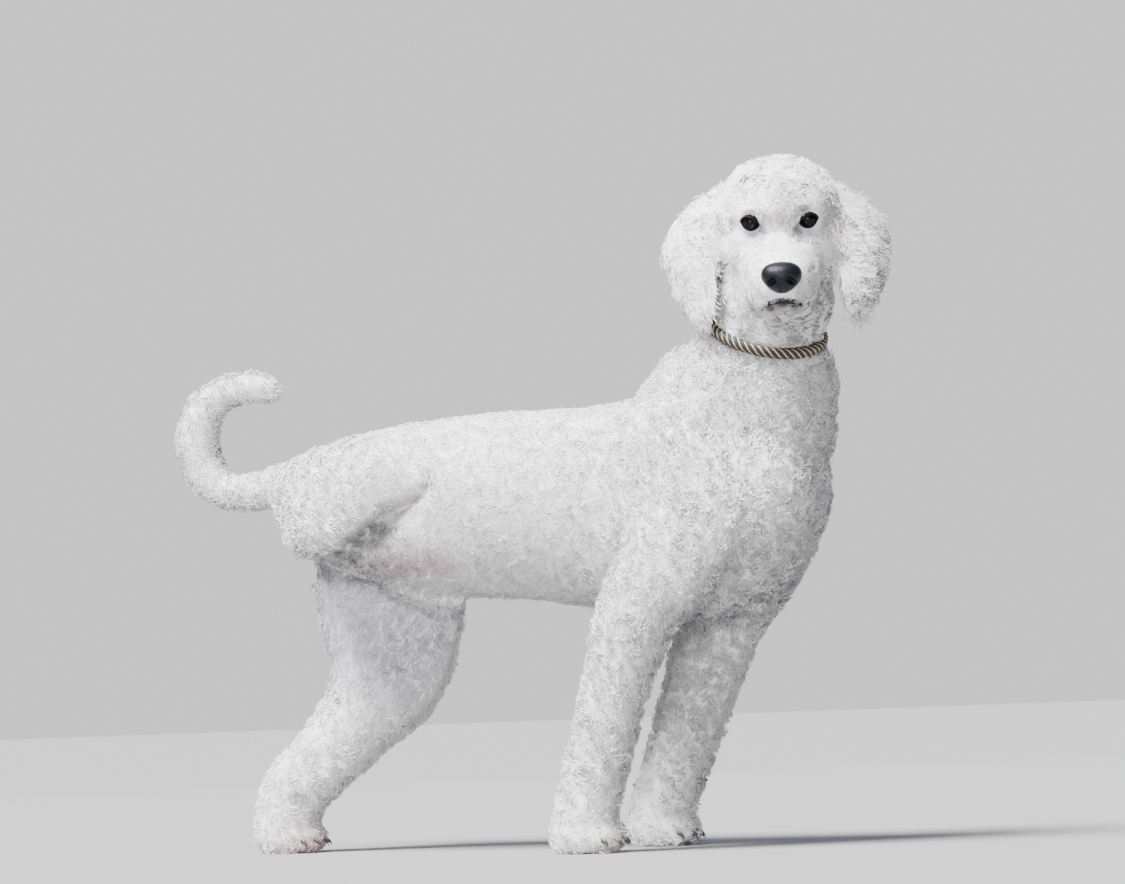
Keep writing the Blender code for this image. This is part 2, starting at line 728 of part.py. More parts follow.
def head_skin(home):
    """The head with its topknot, cheeks, muzzle and the top of the neck, as one closed skin."""
    frame = head_frame()
    skin = ball("head", SKULL[0], [s - HEAD_CURL[0] for s in SKULL[1]], home, frame)
    pieces = [
        tube("muzzle", MUZZLE, home, around=24, frame=frame),
        ball("throat", THROAT[0], [s - HEAD_CURL[0] for s in THROAT[1]], home, frame),
        tube("nape", NECK[2:], home, body_curl, 24),
    ]
    for side in (-1, 1):
        cheek = [s - HEAD_CURL[0] / 2 for s in CHEEK[1]]
        pieces.append(ball("cheek", mirrored(CHEEK[0], side), cheek, home, frame))
    combine(skin, "UNION", pieces)
    return melt(skin, HEAD_VOXEL, HEAD_TRIANGLES)


def mouth_line(skin, lift, inward):
    """Points on the skin round the front of the muzzle, from one corner of the mouth to the other."""
    work = bmesh.new()
    work.from_mesh(skin.data)
    surface = BVHTree.FromBMesh(work)
    work.free()
    frame = head_frame()
    points = []
    for k in range(CORD_STEPS + 1):
        angle = MOUTH_CORNER * (2 * k / CORD_STEPS - 1)
        start = frame @ (Vector(MOUTH_MIDDLE) + Vector((0, 0, lift - MOUTH_DROOP * math.sin(angle) ** 2)))
        way = frame.to_3x3() @ Vector((math.cos(angle), math.sin(angle), 0))
        hit = surface.ray_cast(start, way)[0]
        points.append(hit - way * inward)
    return points


def finish_head(head, home):
    """Adds lips and lids, then cuts the mouth line, the lid openings and the seats of eyes and nose."""
    lips = [
        cord("upper_lip", mouth_line(head, LIP_RADIUS, LIP_RADIUS / 2), LIP_RADIUS, home),
        cord("lower_lip", mouth_line(head, -LIP_RADIUS, LIP_RADIUS / 2), LIP_RADIUS, home),
    ]
    line = cord("mouth_line", mouth_line(head, 0.0, 0.0), MOUTH_GROOVE, home)
    combine(head, "UNION", lips)
    combine(head, "DIFFERENCE", [line])
    lid = [EYE_RADIUS + LID_THICKNESS] * 3
    lids = [ball("lids", (0, 0, 0), lid, home, eye_frame(side), EYE_FACETS) for side in (-1, 1)]
    combine(head, "UNION", lids)
    place, size = (EYE_OPENING_FORWARD, 0, 0), (EYE_OPENING_DEPTH, *EYE_OPENING)
    for side in (-1, 1):
        combine(head, "DIFFERENCE", [ball("opening", place, size, home, eye_frame(side), EYE_FACETS)])
    thin_out(head, FINISHED_HEAD_TRIANGLES)
    for side in (-1, 1):
        seat = ball("seat", (0, 0, 0), [EYE_RADIUS + GAP] * 3, home, eye_frame(side), EYE_FACETS)
        combine(head, "DIFFERENCE", [seat])
    seat = ball("nose_seat", NOSE, [s + GAP for s in NOSE_SIZE], home, head_frame(), NOSE_FACETS)
    return combine(head, "DIFFERENCE", [seat])


def clear_of(node, others, home):
    """Cuts seats for other nodes in a node, a gap larger than they are, and smaller in their creases."""
    for other in others:
        for growth in SEAT_GROWTH:
            seat = duplicate(other, "seat", home)
            for vert in seat.data.vertices:
                vert.co += vert.normal * growth
            combine(node, "DIFFERENCE", [seat])
    return node


def nose_pad(home):
    """The bare nose, with a nostril on each side."""
    frame = head_frame()
    pad = ball("nose", NOSE, NOSE_SIZE, home, frame, NOSE_FACETS)
    front = NOSE[0] + NOSE_SIZE[0] * NOSTRIL_FORWARD
    for side in (-1, 1):
        place = (front, side * NOSTRIL[0], NOSE[2] + NOSTRIL[1])
        combine(pad, "DIFFERENCE", [ball("nostril", place, NOSTRIL_SIZE, home, frame, NOSTRIL_FACETS)])
    return pad


def add_toes(paw, leg, home):
    """Joins toes and claws to a paw."""
    x, y = leg[-1][:2]
    pieces = []
    for forward, sideways in TOES:
        turn = Matrix.Translation((x + PAW_PLACE[0] + forward, y + sideways, TOE_HEIGHT))
        turn = turn @ Matrix.Rotation(TOE_SPLAY * sideways, 4, "Z")
        pieces.append(ball("toe", (0, 0, 0), TOE_SIZE, home, turn, TOE_FACETS))
        claw = bmesh.new()
        bmesh.ops.create_cone(
            claw,
            cap_ends=True,
            segments=CLAW_SIDES,
            radius1=CLAW_RADIUS,
            radius2=CLAW_RADIUS * CLAW_TIP_SHARE,
            depth=CLAW_LENGTH,
        )
        tip = Matrix.Translation((TOE_SIZE[0], 0, 0)) @ Matrix.Rotation(CLAW_LEAN, 4, "Y")
        claw.transform(turn @ tip)
        pieces.append(to_object(claw, "claw", home))
    return combine(paw, "UNION", pieces)


def collar(name, home, grow=0.0):
    frame = plane_frame(COLLAR_PLACE, COLLAR_FACING)
    return ring(name, frame, COLLAR_RING, COLLAR_RADIUS + grow, home, COLLAR_SQUASH)


def build():
    for old in list(bpy.data.objects):
        bpy.data.objects.remove(old)
    home = new_collection("Poodle")
    cutters = new_collection("Cutters")
    skin = body_skin(cutters)
    nodes = {}
    paws = {"paw_fore_right": FORELEG_RIGHT, "paw_fore_left": FORELEG_LEFT, "paw_hind_left": HIND_LEG}
    for name in ["torso", *slices()]:
        node = trim(duplicate(skin, name, home), name, cutters, -ROUGH_CUT)
        if name in paws:
            add_toes(node, paws[name], cutters)
        nodes[name] = trim(node, name, cutters)
    bpy.data.objects.remove(skin)
    combine(nodes["neck"], "DIFFERENCE", [collar("groove", cutters, GAP)])
    ears = []
    for side, word in ((-1, "right"), (1, "left")):
        flap = ear_flap("ear_" + word, side, home)
        ears.append(add_curls(flap, curls_on_ear(side), CURLED_EAR_TRIANGLES, cutters))
        combine(ears[-1], "DIFFERENCE", [collar("groove", cutters, GAP)])
        nodes["ear_" + word] = keep_largest(ears[-1])
        size = (EYE_RADIUS, EYE_RADIUS, EYE_RADIUS)
        nodes["eye_" + word] = ball("eye_" + word, (0, 0, 0), size, home, eye_frame(side), EYE_FACETS)
    clear_of(nodes["neck"], ears, cutters)

    head = head_skin(home)
    add_curls(head, curls_on_head, CURLED_HEAD_TRIANGLES, cutters)
    finish_head(head, cutters)
    above = box("above", (-FAR, -FAR, GAP / 2), (FAR, FAR, FAR), cutters, neck_top())
    combine(head, "INTERSECT", [above])
    nodes["head"] = clear_of(head, ears, cutters)
    nodes["nose"] = nose_pad(home)
    nodes["collar"] = collar("collar", home)

    stand = bpy.data.objects.new("Dog", None)
    home.objects.link(stand)
    stand.location = DOG_PLACE
    looks = {"nose": SKIN_DARK, "eye_left": EYE_DARK, "eye_right": EYE_DARK, "collar": CORD}
    for name, node in nodes.items():
        keep_largest(node)
        paint(node, looks.get(name, COAT))
        node.data.shade_smooth()
        node.parent = stand


build()
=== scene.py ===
import math

import bmesh
import bpy
import numpy as np
from mathutils import Matrix, Vector, noise
from mathutils.bvhtree import BVHTree
from mathutils.kdtree import KDTree


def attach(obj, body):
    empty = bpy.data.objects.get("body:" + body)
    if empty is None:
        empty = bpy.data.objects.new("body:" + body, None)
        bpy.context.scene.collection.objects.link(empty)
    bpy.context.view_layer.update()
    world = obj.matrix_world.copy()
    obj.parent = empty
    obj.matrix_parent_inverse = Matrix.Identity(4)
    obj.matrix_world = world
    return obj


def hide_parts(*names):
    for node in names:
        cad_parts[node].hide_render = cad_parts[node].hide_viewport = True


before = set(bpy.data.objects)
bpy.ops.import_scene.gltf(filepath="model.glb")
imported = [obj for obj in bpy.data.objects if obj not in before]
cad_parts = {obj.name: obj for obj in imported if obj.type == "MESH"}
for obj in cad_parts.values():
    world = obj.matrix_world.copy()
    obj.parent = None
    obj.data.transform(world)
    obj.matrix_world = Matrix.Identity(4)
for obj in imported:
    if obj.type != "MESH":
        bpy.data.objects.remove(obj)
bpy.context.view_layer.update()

# Skin of the whole dog.
# A slim, muscular dog under its wool: deep chest, tucked-up belly, long neck turned to its right, and one
# hind leg. Of the right one a rounded stump of the thigh is left. Sizes run out to the tips of the coat.
STAND = Vector((-0.0135, 0.0134, 0.0))
TRUNK = [  # distance forward, top, bottom and half width of each section
    (-0.322, 0.494, 0.425, 0.044),
    (-0.300, 0.508, 0.394, 0.070),
    (-0.250, 0.525, 0.364, 0.092),
    (-0.180, 0.538, 0.344, 0.098),
    (-0.110, 0.544, 0.327, 0.094),
    (-0.040, 0.547, 0.316, 0.098),
    (0.040, 0.547, 0.309, 0.108),
    (0.110, 0.545, 0.296, 0.114),
    (0.180, 0.549, 0.283, 0.115),
    (0.250, 0.556, 0.277, 0.114),
    (0.320, 0.548, 0.288, 0.110),
    (0.380, 0.520, 0.325, 0.096),
    (0.409, 0.488, 0.370, 0.074),
]
TRUNK_WIDEST = 0.56
TRUNK_END = 0.012
NECK = [
    (0.250, 0.000, 0.430, 0.125, 0.098),
    (0.303, 0.002, 0.500, 0.120, 0.096),
    (0.347, 0.000, 0.560, 0.106, 0.088),
    (0.362, -0.008, 0.605, 0.081, 0.076),
    (0.372, -0.016, 0.632, 0.072, 0.069),
    (0.384, -0.023, 0.660, 0.072, 0.069),
    (0.392, -0.030, 0.690, 0.066, 0.064),
]
BREAST = ((0.352, 0.010, 0.497), (0.085, 0.088, 0.070))
FORELEG_RIGHT = [
    (0.225, -0.062, 0.500, 0.070, 0.045),
    (0.292, -0.076, 0.420, 0.076, 0.050),
    (0.262, -0.088, 0.345, 0.063, 0.050),
    (0.217, -0.091, 0.282, 0.050, 0.046),
    (0.180, -0.087, 0.185, 0.041, 0.039),
    (0.150, -0.083, 0.095, 0.039, 0.037),
    (0.133, -0.081, 0.040, 0.040, 0.038),
    (0.130, -0.081, 0.018, 0.041, 0.039),
]
FORELEG_LEFT = [
    (0.235, 0.062, 0.500, 0.070, 0.045),
    (0.312, 0.078, 0.415, 0.076, 0.050),
    (0.288, 0.090, 0.345, 0.066, 0.052),
    (0.247, 0.092, 0.280, 0.056, 0.048),
    (0.212, 0.087, 0.185, 0.047, 0.042),
    (0.179, 0.083, 0.095, 0.042, 0.039),
    (0.158, 0.081, 0.040, 0.041, 0.039),
    (0.154, 0.081, 0.018, 0.041, 0.039),
]
HIND_LEG = [
    (-0.215, 0.058, 0.450, 0.098, 0.055),
    (-0.212, 0.070, 0.365, 0.108, 0.056),
    (-0.212, 0.074, 0.290, 0.100, 0.052),
    (-0.222, 0.072, 0.225, 0.082, 0.047),
    (-0.262, 0.064, 0.168, 0.056, 0.041),
    (-0.315, 0.056, 0.118, 0.047, 0.038),
    (-0.353, 0.050, 0.080, 0.048, 0.039),
    (-0.366, 0.046, 0.040, 0.045, 0.039),
    (-0.367, 0.046, 0.018, 0.044, 0.039),
]
TAIL = [
    (-0.270, 0.000, 0.478, 0.040, 0.040),
    (-0.320, 0.000, 0.476, 0.031, 0.031),
    (-0.365, 0.000, 0.471, 0.026, 0.026),
    (-0.408, 0.000, 0.472, 0.024, 0.024),
    (-0.444, 0.000, 0.496, 0.027, 0.027),
    (-0.457, 0.000, 0.544, 0.030, 0.030),
    (-0.440, 0.000, 0.586, 0.026, 0.026),
    (-0.402, 0.000, 0.606, 0.023, 0.023),
    (-0.362, 0.000, 0.606, 0.022, 0.022),
    (-0.338, 0.000, 0.597, 0.016, 0.016),
]
SHEATH = [
    (-0.170, 0.000, 0.345, 0.020, 0.022),
    (-0.120, 0.000, 0.330, 0.023, 0.022),
    (-0.085, 0.000, 0.321, 0.022, 0.020),
    (-0.068, 0.000, 0.316, 0.014, 0.013),
]
FOLD = [  # the crease below the stump, forward, sideways and up, then its depth twice
    (-0.058, -0.092, 0.482, 0.004, 0.004),
    (-0.067, -0.095, 0.455, 0.007, 0.007),
    (-0.086, -0.094, 0.439, 0.009, 0.009),
    (-0.104, -0.092, 0.428, 0.010, 0.010),
    (-0.127, -0.091, 0.414, 0.012, 0.012),
    (-0.160, -0.086, 0.394, 0.012, 0.012),
    (-0.196, -0.074, 0.380, 0.011, 0.011),
    (-0.236, -0.057, 0.371, 0.010, 0.010),
    (-0.272, -0.040, 0.372, 0.006, 0.006),
]
STUMP_PLACE = (-0.185, -0.062, 0.446)
STUMP_SIZE = (0.112, 0.053, 0.073)
STUMP_RISE = math.radians(22)
PAW_SIZE = (0.050, 0.040, 0.032)
PAW_PLACE = (0.006, 0.0, 0.021)
TOES = ((0.0190, -0.0240), (0.0275, -0.0083), (0.0270, 0.0078), (0.0205, 0.0235))
TOE_SIZE = (0.018, 0.0100, 0.016)
TOE_HEIGHT = 0.016
TOE_SPLAY = 11.0
HEAD_PLACE = (0.416, -0.070, 0.740)
HEAD_TURN = math.radians(-67)
HEAD_NOD = math.radians(22)
SKULL = ((-0.058, 0.0, 0.009), (0.090, 0.071, 0.053))
CHEEK = ((-0.022, 0.032, -0.046), (0.052, 0.041, 0.046))
THROAT = ((-0.020, 0.003, -0.078), (0.056, 0.054, 0.032))
MUZZLE = [
    (-0.050, 0.0, -0.040, 0.050, 0.058),
    (-0.010, 0.0, -0.045, 0.049, 0.055),
    (0.030, 0.0, -0.053, 0.045, 0.048),
    (0.066, 0.0, -0.060, 0.044, 0.043),
    (0.088, 0.0, -0.063, 0.039, 0.037),
    (0.098, 0.0, -0.064, 0.029, 0.027),
]
EAR = [  # forward, sideways and up, then half length and half thickness of the section
    (-0.058, 0.054, 0.024, 0.026, 0.013),
    (-0.056, 0.074, 0.009, 0.036, 0.019),
    (-0.047, 0.092, -0.014, 0.044, 0.026),
    (-0.029, 0.099, -0.038, 0.046, 0.027),
    (-0.005, 0.096, -0.066, 0.040, 0.022),
    (0.014, 0.091, -0.088, 0.026, 0.015),
    (0.020, 0.089, -0.098, 0.013, 0.009),
]
EAR_TURN = math.radians(40)
EAR_SPREAD = {-1: 1.045, 1: 0.960}
EAR_LENGTH = {-1: 1.17, 1: 1.18}
EAR_CUP = 0.45
SKIN_VOXEL = 0.0036
SKIN_SMOOTHING = 9

head_place = (
    Matrix.Translation(Vector(HEAD_PLACE) + STAND)
    @ Matrix.Rotation(HEAD_TURN, 4, "Z")
    @ Matrix.Rotation(HEAD_NOD, 4, "Y")
)
stump_place = Matrix.Translation(Vector(STUMP_PLACE) + STAND) @ Matrix.Rotation(-STUMP_RISE, 4, "Y")
stand_place = Matrix.Translation(STAND)


def smooth_rows(rows, between=4):
    """More rows, read from one smooth curve through the given ones."""
    rows = [Vector(row) for row in rows]
    rows = [2 * rows[0] - rows[1], *rows, 2 * rows[-1] - rows[-2]]
    found = []
    for a, b, c, d in zip(rows, rows[1:], rows[2:], rows[3:]):
        for k in range(between):
            t = k / between
            bend = (c - a) * t + (2 * a - 5 * b + 4 * c - d) * t ** 2 + (3 * b - a - 3 * c + d) * t ** 3
            found.append(b + 0.5 * bend)
    found.append(rows[-2])
    return found


def add_loft(work, rings):
    """A closed form through rings of points, with a point amid each end."""
    loops = [[work.verts.new(point) for point in ring] for ring in rings]
    count = len(loops[0])
    for low, high in zip(loops, loops[1:]):
        for k in range(count):
            n = (k + 1) % count
            work.faces.new((low[k], low[n], high[n], high[k]))
    for end in (loops[0], loops[-1]):
        middle = work.verts.new(sum((vert.co for vert in end), Vector()) / count)
        for k in range(count):
            work.faces.new((end[k], end[(k + 1) % count], middle))


def add_trunk(work, around=40):
    """The trunk. Its sections are egg-shaped, with the widest line above the middle."""
    rows = smooth_rows(TRUNK)
    shapes = [(rows[0], 0.5, -TRUNK_END)] + [(row, 1.0, 0.0) for row in rows] + [(rows[-1], 0.5, TRUNK_END)]
    rings = []
    for (x, top, bottom, half), share, push in shapes:
        widest = bottom + TRUNK_WIDEST * (top - bottom)
        ring = []
        for k in range(around):
            angle = math.tau * k / around
            reach = top - widest if math.sin(angle) > 0 else widest - bottom
            high = widest + reach * share * math.sin(angle)
            ring.append(STAND + Vector((x + push, half * share * math.cos(angle), high)))
        rings.append(ring)
    add_loft(work, rings)


def add_tube(work, rows, place, around=28):
    """A limb with oval sections square to its path and rounded ends."""
    rows = smooth_rows(rows)
    rings = []
    for i, row in enumerate(rows):
        ahead = Vector(rows[min(i + 1, len(rows) - 1)][:3]) - Vector(rows[max(i - 1, 0)][:3])
        along = ahead.normalized()
        across = Vector((0, 1, 0))
        across = (across - along * across.dot(along)).normalized()
        fore = across.cross(along)
        shapes = [(0.0, 1.0)]
        if i == 0:
            shapes = [(-0.5, 0.55), (0.0, 1.0)]
        if i == len(rows) - 1:
            shapes = [(0.0, 1.0), (0.5, 0.55)]
        for push, share in shapes:
            middle = Vector(row[:3]) + along * push * row[3]
            angles = [math.tau * k / around for k in range(around)]
            oval = [(fore * math.cos(a) * row[3] + across * math.sin(a) * row[4]) * share for a in angles]
            rings.append([place @ (middle + spot) for spot in oval])
    add_loft(work, rings)


def add_ball(work, middle, size, place, around=28):
    made = bmesh.ops.create_uvsphere(work, u_segments=around, v_segments=around // 2, radius=1.0)
    shape = place @ Matrix.Translation(middle) @ Matrix.Diagonal((*size, 1.0))
    for vert in made["verts"]:
        vert.co = shape @ vert.co


def mirrored(spot, side):
    return Vector((spot[0], side * spot[1], spot[2]))


def add_ear(work, side, around=20):
    """A hanging ear flap, hollowed on the side towards the cheek."""
    rows = smooth_rows(EAR)
    turn = side * EAR_TURN
    fore = Vector((math.cos(turn), -math.sin(turn), 0))
    out = Vector((math.sin(turn), math.cos(turn), 0)) * side
    shapes = [(rows[0], 0.5, 0.006)] + [(row, 1.0, 0.0) for row in rows] + [(rows[-1], 0.5, -0.004)]
    rings = []
    for row, share, lift in shapes:
        middle = Vector((row[0], side * row[1] * EAR_SPREAD[side], row[2] * EAR_LENGTH[side] + lift))
        ring = []
        for k in range(around):
            along, bulge = math.cos(math.tau * k / around), math.sin(math.tau * k / around)
            depth = row[4] * bulge
            if bulge < 0:
                depth = (0.55 + EAR_CUP * bulge) * row[4] * bulge
            ring.append(head_place @ (middle + share * (fore * row[3] * along + out * depth)))
        rings.append(ring)
    add_loft(work, rings)


def keep_in_scene(name, work, smooth=True):
    """Turns drawn faces into a piece of the scene."""
    mesh = bpy.data.meshes.new(name)
    bmesh.ops.recalc_face_normals(work, faces=work.faces)
    work.to_mesh(mesh)
    work.free()
    piece = bpy.data.objects.new(name, mesh)
    bpy.context.scene.collection.objects.link(piece)
    if smooth:
        mesh.shade_smooth()
    return piece


def apply_modifiers(piece):
    bpy.context.view_layer.update()
    graph = bpy.context.evaluated_depsgraph_get()
    mesh = bpy.data.meshes.new_from_object(piece.evaluated_get(graph))
    piece.modifiers.clear()
    piece.data = mesh


def foot_and_toes(leg):
    """Where a foot stands on the floor, and where its toes are."""
    foot = Matrix.Translation(STAND + Vector((*leg[-1][:2], 0.0)))
    toes = []
    for forward, sideways in TOES:
        toe = foot @ Matrix.Translation((PAW_PLACE[0] + forward, sideways, TOE_HEIGHT))
        toes.append(toe @ Matrix.Rotation(TOE_SPLAY * sideways, 4, "Z"))
    return foot, toes


work = bmesh.new()
add_trunk(work)
for rows in (NECK, FORELEG_RIGHT, FORELEG_LEFT, HIND_LEG, TAIL, SHEATH):
    add_tube(work, rows, stand_place)
add_ball(work, (0, 0, 0), STUMP_SIZE, stump_place)
add_ball(work, *BREAST, stand_place)
for leg in (FORELEG_RIGHT, FORELEG_LEFT, HIND_LEG):
    foot, toes = foot_and_toes(leg)
    add_ball(work, PAW_PLACE, PAW_SIZE, foot)
    for toe in toes:
        add_ball(work, (0, 0, 0), TOE_SIZE, toe, 16)
add_ball(work, *SKULL, head_place)
add_ball(work, *THROAT, head_place)
add_tube(work, MUZZLE, head_place)
for side in (-1, 1):
    add_ball(work, mirrored(CHEEK[0], side), CHEEK[1], head_place)
    add_ear(work, side)
skin = keep_in_scene("skin", work)
melt = skin.modifiers.new("melt", "REMESH")
melt.mode = "VOXEL"
melt.voxel_size = SKIN_VOXEL
ease = skin.modifiers.new("ease", "SMOOTH")
ease.factor = 0.5
ease.iterations = SKIN_SMOOTHING
apply_modifiers(skin)
skin.data.shade_smooth()

# Depth of the coat: how far the wool's tips stand off the skin, which is drawn in by as much.
# Forequarters, neck, head and legs carry curls. Back, flanks, tail and stump are clipped, and the inside of
# the hind leg is shorter still. The fold below the stump and the eye sockets are pressed in deeper.
CURLY_DEPTH = 0.0082
LEG_DEPTH = 0.0078
FOOT_DEPTH = 0.0055
SHORT_DEPTH = 0.0060
STUMP_DEPTH = 0.0075
THIGH_DEPTH = 0.0032
TAIL_DEPTH = 0.0062
TOPKNOT_DEPTH = 0.0090
FACE_DEPTH = 0.0055
EAR_DEPTH = 0.0068
HIDDEN_DEPTH = 0.0035
FLESH = [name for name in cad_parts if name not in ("nose", "collar", "eye_left", "eye_right")]

finder = KDTree(sum(len(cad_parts[name].data.polygons) for name in FLESH))
owner = []
for index, name in enumerate(FLESH):
    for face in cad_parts[name].data.polygons:
        finder.insert(face.center, len(owner))
        owner.append(index)
finder.balance()
owner = np.array(owner)


def ramp(values, start, end):
    """Rises from 0 at start to 1 at end."""
    return np.clip((values - start) / (end - start), 0.0, 1.0)


def array_of(data, name, width, kind=np.float32):
    found = np.empty(len(data) * width, kind)
    data.foreach_get(name, found)
    return found.reshape(-1, width) if width > 1 else found


skin_spots = array_of(skin.data.vertices, "co", 3).astype(np.float64)
skin_normals = array_of(skin.data.vertices, "normal", 3).astype(np.float64)
skin_region = owner[[finder.find(spot)[1] for spot in skin_spots]]
skin_edges = array_of(skin.data.edges, "vertices", 2, np.int32)
skin_links = np.bincount(skin_edges.ravel(), minlength=len(skin_spots))


def evened(values, rounds):
    """Blends a value over the skin into its surroundings."""
    for _ in range(rounds):
        total = np.bincount(skin_edges[:, 0], values[skin_edges[:, 1]], len(values))
        total += np.bincount(skin_edges[:, 1], values[skin_edges[:, 0]], len(values))
        values = 0.5 * values + 0.5 * total / skin_links
    return values


def in_head(spots):
    turn = np.array(head_place.to_3x3())
    return (spots - np.array(head_place.translation)) @ turn


def is_region(*names):
    return np.isin(skin_region, [FLESH.index(name) for name in names])


EYE = (0.0020, 0.0335, 0.0015)
EYE_RADIUS = 0.0120
EYE_OUTWARD = math.radians(10)
EYE_HALF = (0.0106, 0.0078)
SOCKET_HALF = (0.0145, 0.0122)
SOCKET_FLOOR = 0.0060
SOCKET_SLOPE = 0.0130
NOSE = (0.106, 0.0, -0.0405)
NOSE_SIZE = (0.020, 0.0235, 0.0195)
EYE_SHORTENS = (0.014, 0.036)  # the coat grows from a share of its depth to all of it between these
NOSE_SHORTENS = (1.0, 1.9)
SHORTENED = 0.30
COLLAR_PLACE = Vector((0.370, -0.018, 0.620)) + STAND
COLLAR_FACING = Vector((0.41, -0.38, 0.92))
COLLAR_RING = 0.0690


def eye_place(side):
    turned_out = Matrix.Rotation(side * EYE_OUTWARD, 4, "Z")
    return head_place @ Matrix.Translation(mirrored(EYE, side)) @ turned_out


dog = skin_spots - np.array(STAND)
local = in_head(skin_spots)
front = ramp(dog[:, 0] + 0.15 * (0.55 - dog[:, 2]), 0.13, 0.33)
rump = ramp(dog[:, 0], -0.10, -0.20)
depth = SHORT_DEPTH + (CURLY_DEPTH - SHORT_DEPTH) * front + (STUMP_DEPTH - SHORT_DEPTH) * rump
curly = 0.14 + 0.86 * front + 0.16 * rump
tail_part = is_region("tail_base", "tail_curl")
depth = np.where(tail_part, TAIL_DEPTH, depth)
knee = ramp(dog[:, 2] - 0.45 * (dog[:, 0] + 0.21), 0.320, 0.150)
hind = is_region("thigh_left", "lower_leg_left")
inner = ramp(-skin_normals[:, 1], -0.35, 0.25)
thigh_depth = STUMP_DEPTH + (THIGH_DEPTH - STUMP_DEPTH) * inner
depth = np.where(hind, thigh_depth + (LEG_DEPTH - thigh_depth) * knee, depth)
thigh_curly = 0.30 - 0.24 * inner
curly = np.where(hind, thigh_curly + (0.60 - thigh_curly) * knee, curly)
forelegs = is_region("foreleg_left", "foreleg_right")
depth = np.where(forelegs, LEG_DEPTH, depth)
curly = np.where(forelegs, 0.85, curly)
feet = is_region("paw_fore_left", "paw_fore_right", "paw_hind_left")
depth = np.where(feet, FOOT_DEPTH + (LEG_DEPTH - FOOT_DEPTH) * ramp(dog[:, 2], 0.030, 0.075), depth)
curly = np.where(feet, 0.35 + 0.30 * ramp(dog[:, 2], 0.030, 0.075), curly)
ears = is_region("ear_left", "ear_right")
facing = skin_normals @ np.array(head_place.to_3x3())
inside = ramp(facing[:, 1] * -np.sign(local[:, 1]), 0.1, 0.5)
depth = np.where(ears, EAR_DEPTH + (HIDDEN_DEPTH - EAR_DEPTH) * inside, depth)
face = ramp(local[:, 0], -0.050, 0.020)
crown = ramp(local[:, 2], 0.000, 0.034)
head_depth = TOPKNOT_DEPTH + (FACE_DEPTH - TOPKNOT_DEPTH) * face * (1 - crown)
under_ear = ramp(np.abs(local[:, 1]), 0.052, 0.060) * ramp(local[:, 2], 0.015, 0.005)
under_ear *= ramp(-local[:, 0], -0.010, 0.005)
head_depth += (HIDDEN_DEPTH - head_depth) * under_ear
depth = np.where(is_region("head"), head_depth, depth)
to_eyes = [local - np.array(mirrored(EYE, side)) for side in (-1, 1)]
eye_away = np.min(np.linalg.norm(to_eyes, axis=2), axis=0)
nose_away = np.linalg.norm((local - np.array(NOSE)) / np.array(NOSE_SIZE), axis=1)
curly = np.where(is_region("head"), ramp(depth, 0.003, 0.009) * 0.40, curly)
curly = np.where(ears, ramp(depth, 0.003, 0.009) * 0.25, curly)
depth = evened(depth, 12)
curly = evened(curly, 25)
depth *= SHORTENED + (1 - SHORTENED) * ramp(eye_away, *EYE_SHORTENS)
depth *= SHORTENED + (1 - SHORTENED) * ramp(nose_away, *NOSE_SHORTENS)
skin_spots -= skin_normals * depth[:, None]
fold = np.array([list(row) for row in smooth_rows(FOLD, 6)])
to_fold = np.linalg.norm(dog[:, None] - fold[None, :, :3], axis=2)
nearest = to_fold.argmin(axis=1)
deep = fold[nearest, 3]
skin_spots -= skin_normals * (1.6 * deep * np.exp(-((to_fold.min(axis=1) / (deep + 0.004)) ** 2)))[:, None]
for side in (-1, 1):
    socket = eye_place(side)
    turn = np.array(socket.to_3x3())
    within = (skin_spots - np.array(socket.translation)) @ turn
    ring = np.hypot(within[:, 1] / SOCKET_HALF[0], within[:, 2] / SOCKET_HALF[1])
    deep = within[:, 0] - SOCKET_FLOOR - SOCKET_SLOPE * np.maximum(ring - 1, 0)
    skin_spots -= turn[:, 0] * (np.maximum(deep, 0) * (ring < 2.6) * (within[:, 0] > 0))[:, None]
skin.data.vertices.foreach_set("co", skin_spots.astype(np.float32).ravel())
skin.data.update()
skin_normals = array_of(skin.data.vertices, "normal", 3).astype(np.float64)
FLOOR_CLEAR = 0.0012
skin_spots[:, 2] = np.maximum(skin_spots[:, 2], FLOOR_CLEAR)
skin.data.vertices.foreach_set("co", skin_spots.astype(np.float32).ravel())
skin.data.update()

bpy.context.view_layer.objects.active = skin
skin.select_set(True)
bpy.ops.object.mode_set(mode="EDIT")
bpy.ops.mesh.select_all(action="SELECT")
bpy.ops.uv.smart_project(angle_limit=math.radians(70), island_margin=0.001)
bpy.ops.object.mode_set(mode="OBJECT")
skin.data.uv_layers[0].name = "OFBake"


def new_material(name, rough, shine=0.5, tint=(0.8, 0.8, 0.8)):
    """A material, with its roughness, its shine and, where it has one only, its colour."""
    made = bpy.data.materials.new(name)
    made.use_nodes = True
    shader = made.node_tree.nodes["Principled BSDF"]
    shader.inputs["Base Color"].default_value = (*tint, 1.0)
    shader.inputs["Roughness"].default_value = rough
    shader.inputs["Specular IOR Level"].default_value = shine
    return made, made.node_tree.nodes, made.node_tree.links, shader


def two_tones(look, value, low, high, ends=(0.0, 1.0)):
    """A colour that goes from low to high with a value."""
    tones = look.node_tree.nodes.new("ShaderNodeValToRGB")
    for element, tint, end in zip(tones.color_ramp.elements, (low, high), ends):
        element.position = end
        element.color = (*tint, 1.0)
    look.node_tree.links.new(value, tones.inputs["Fac"])
    return tones.outputs["Color"]


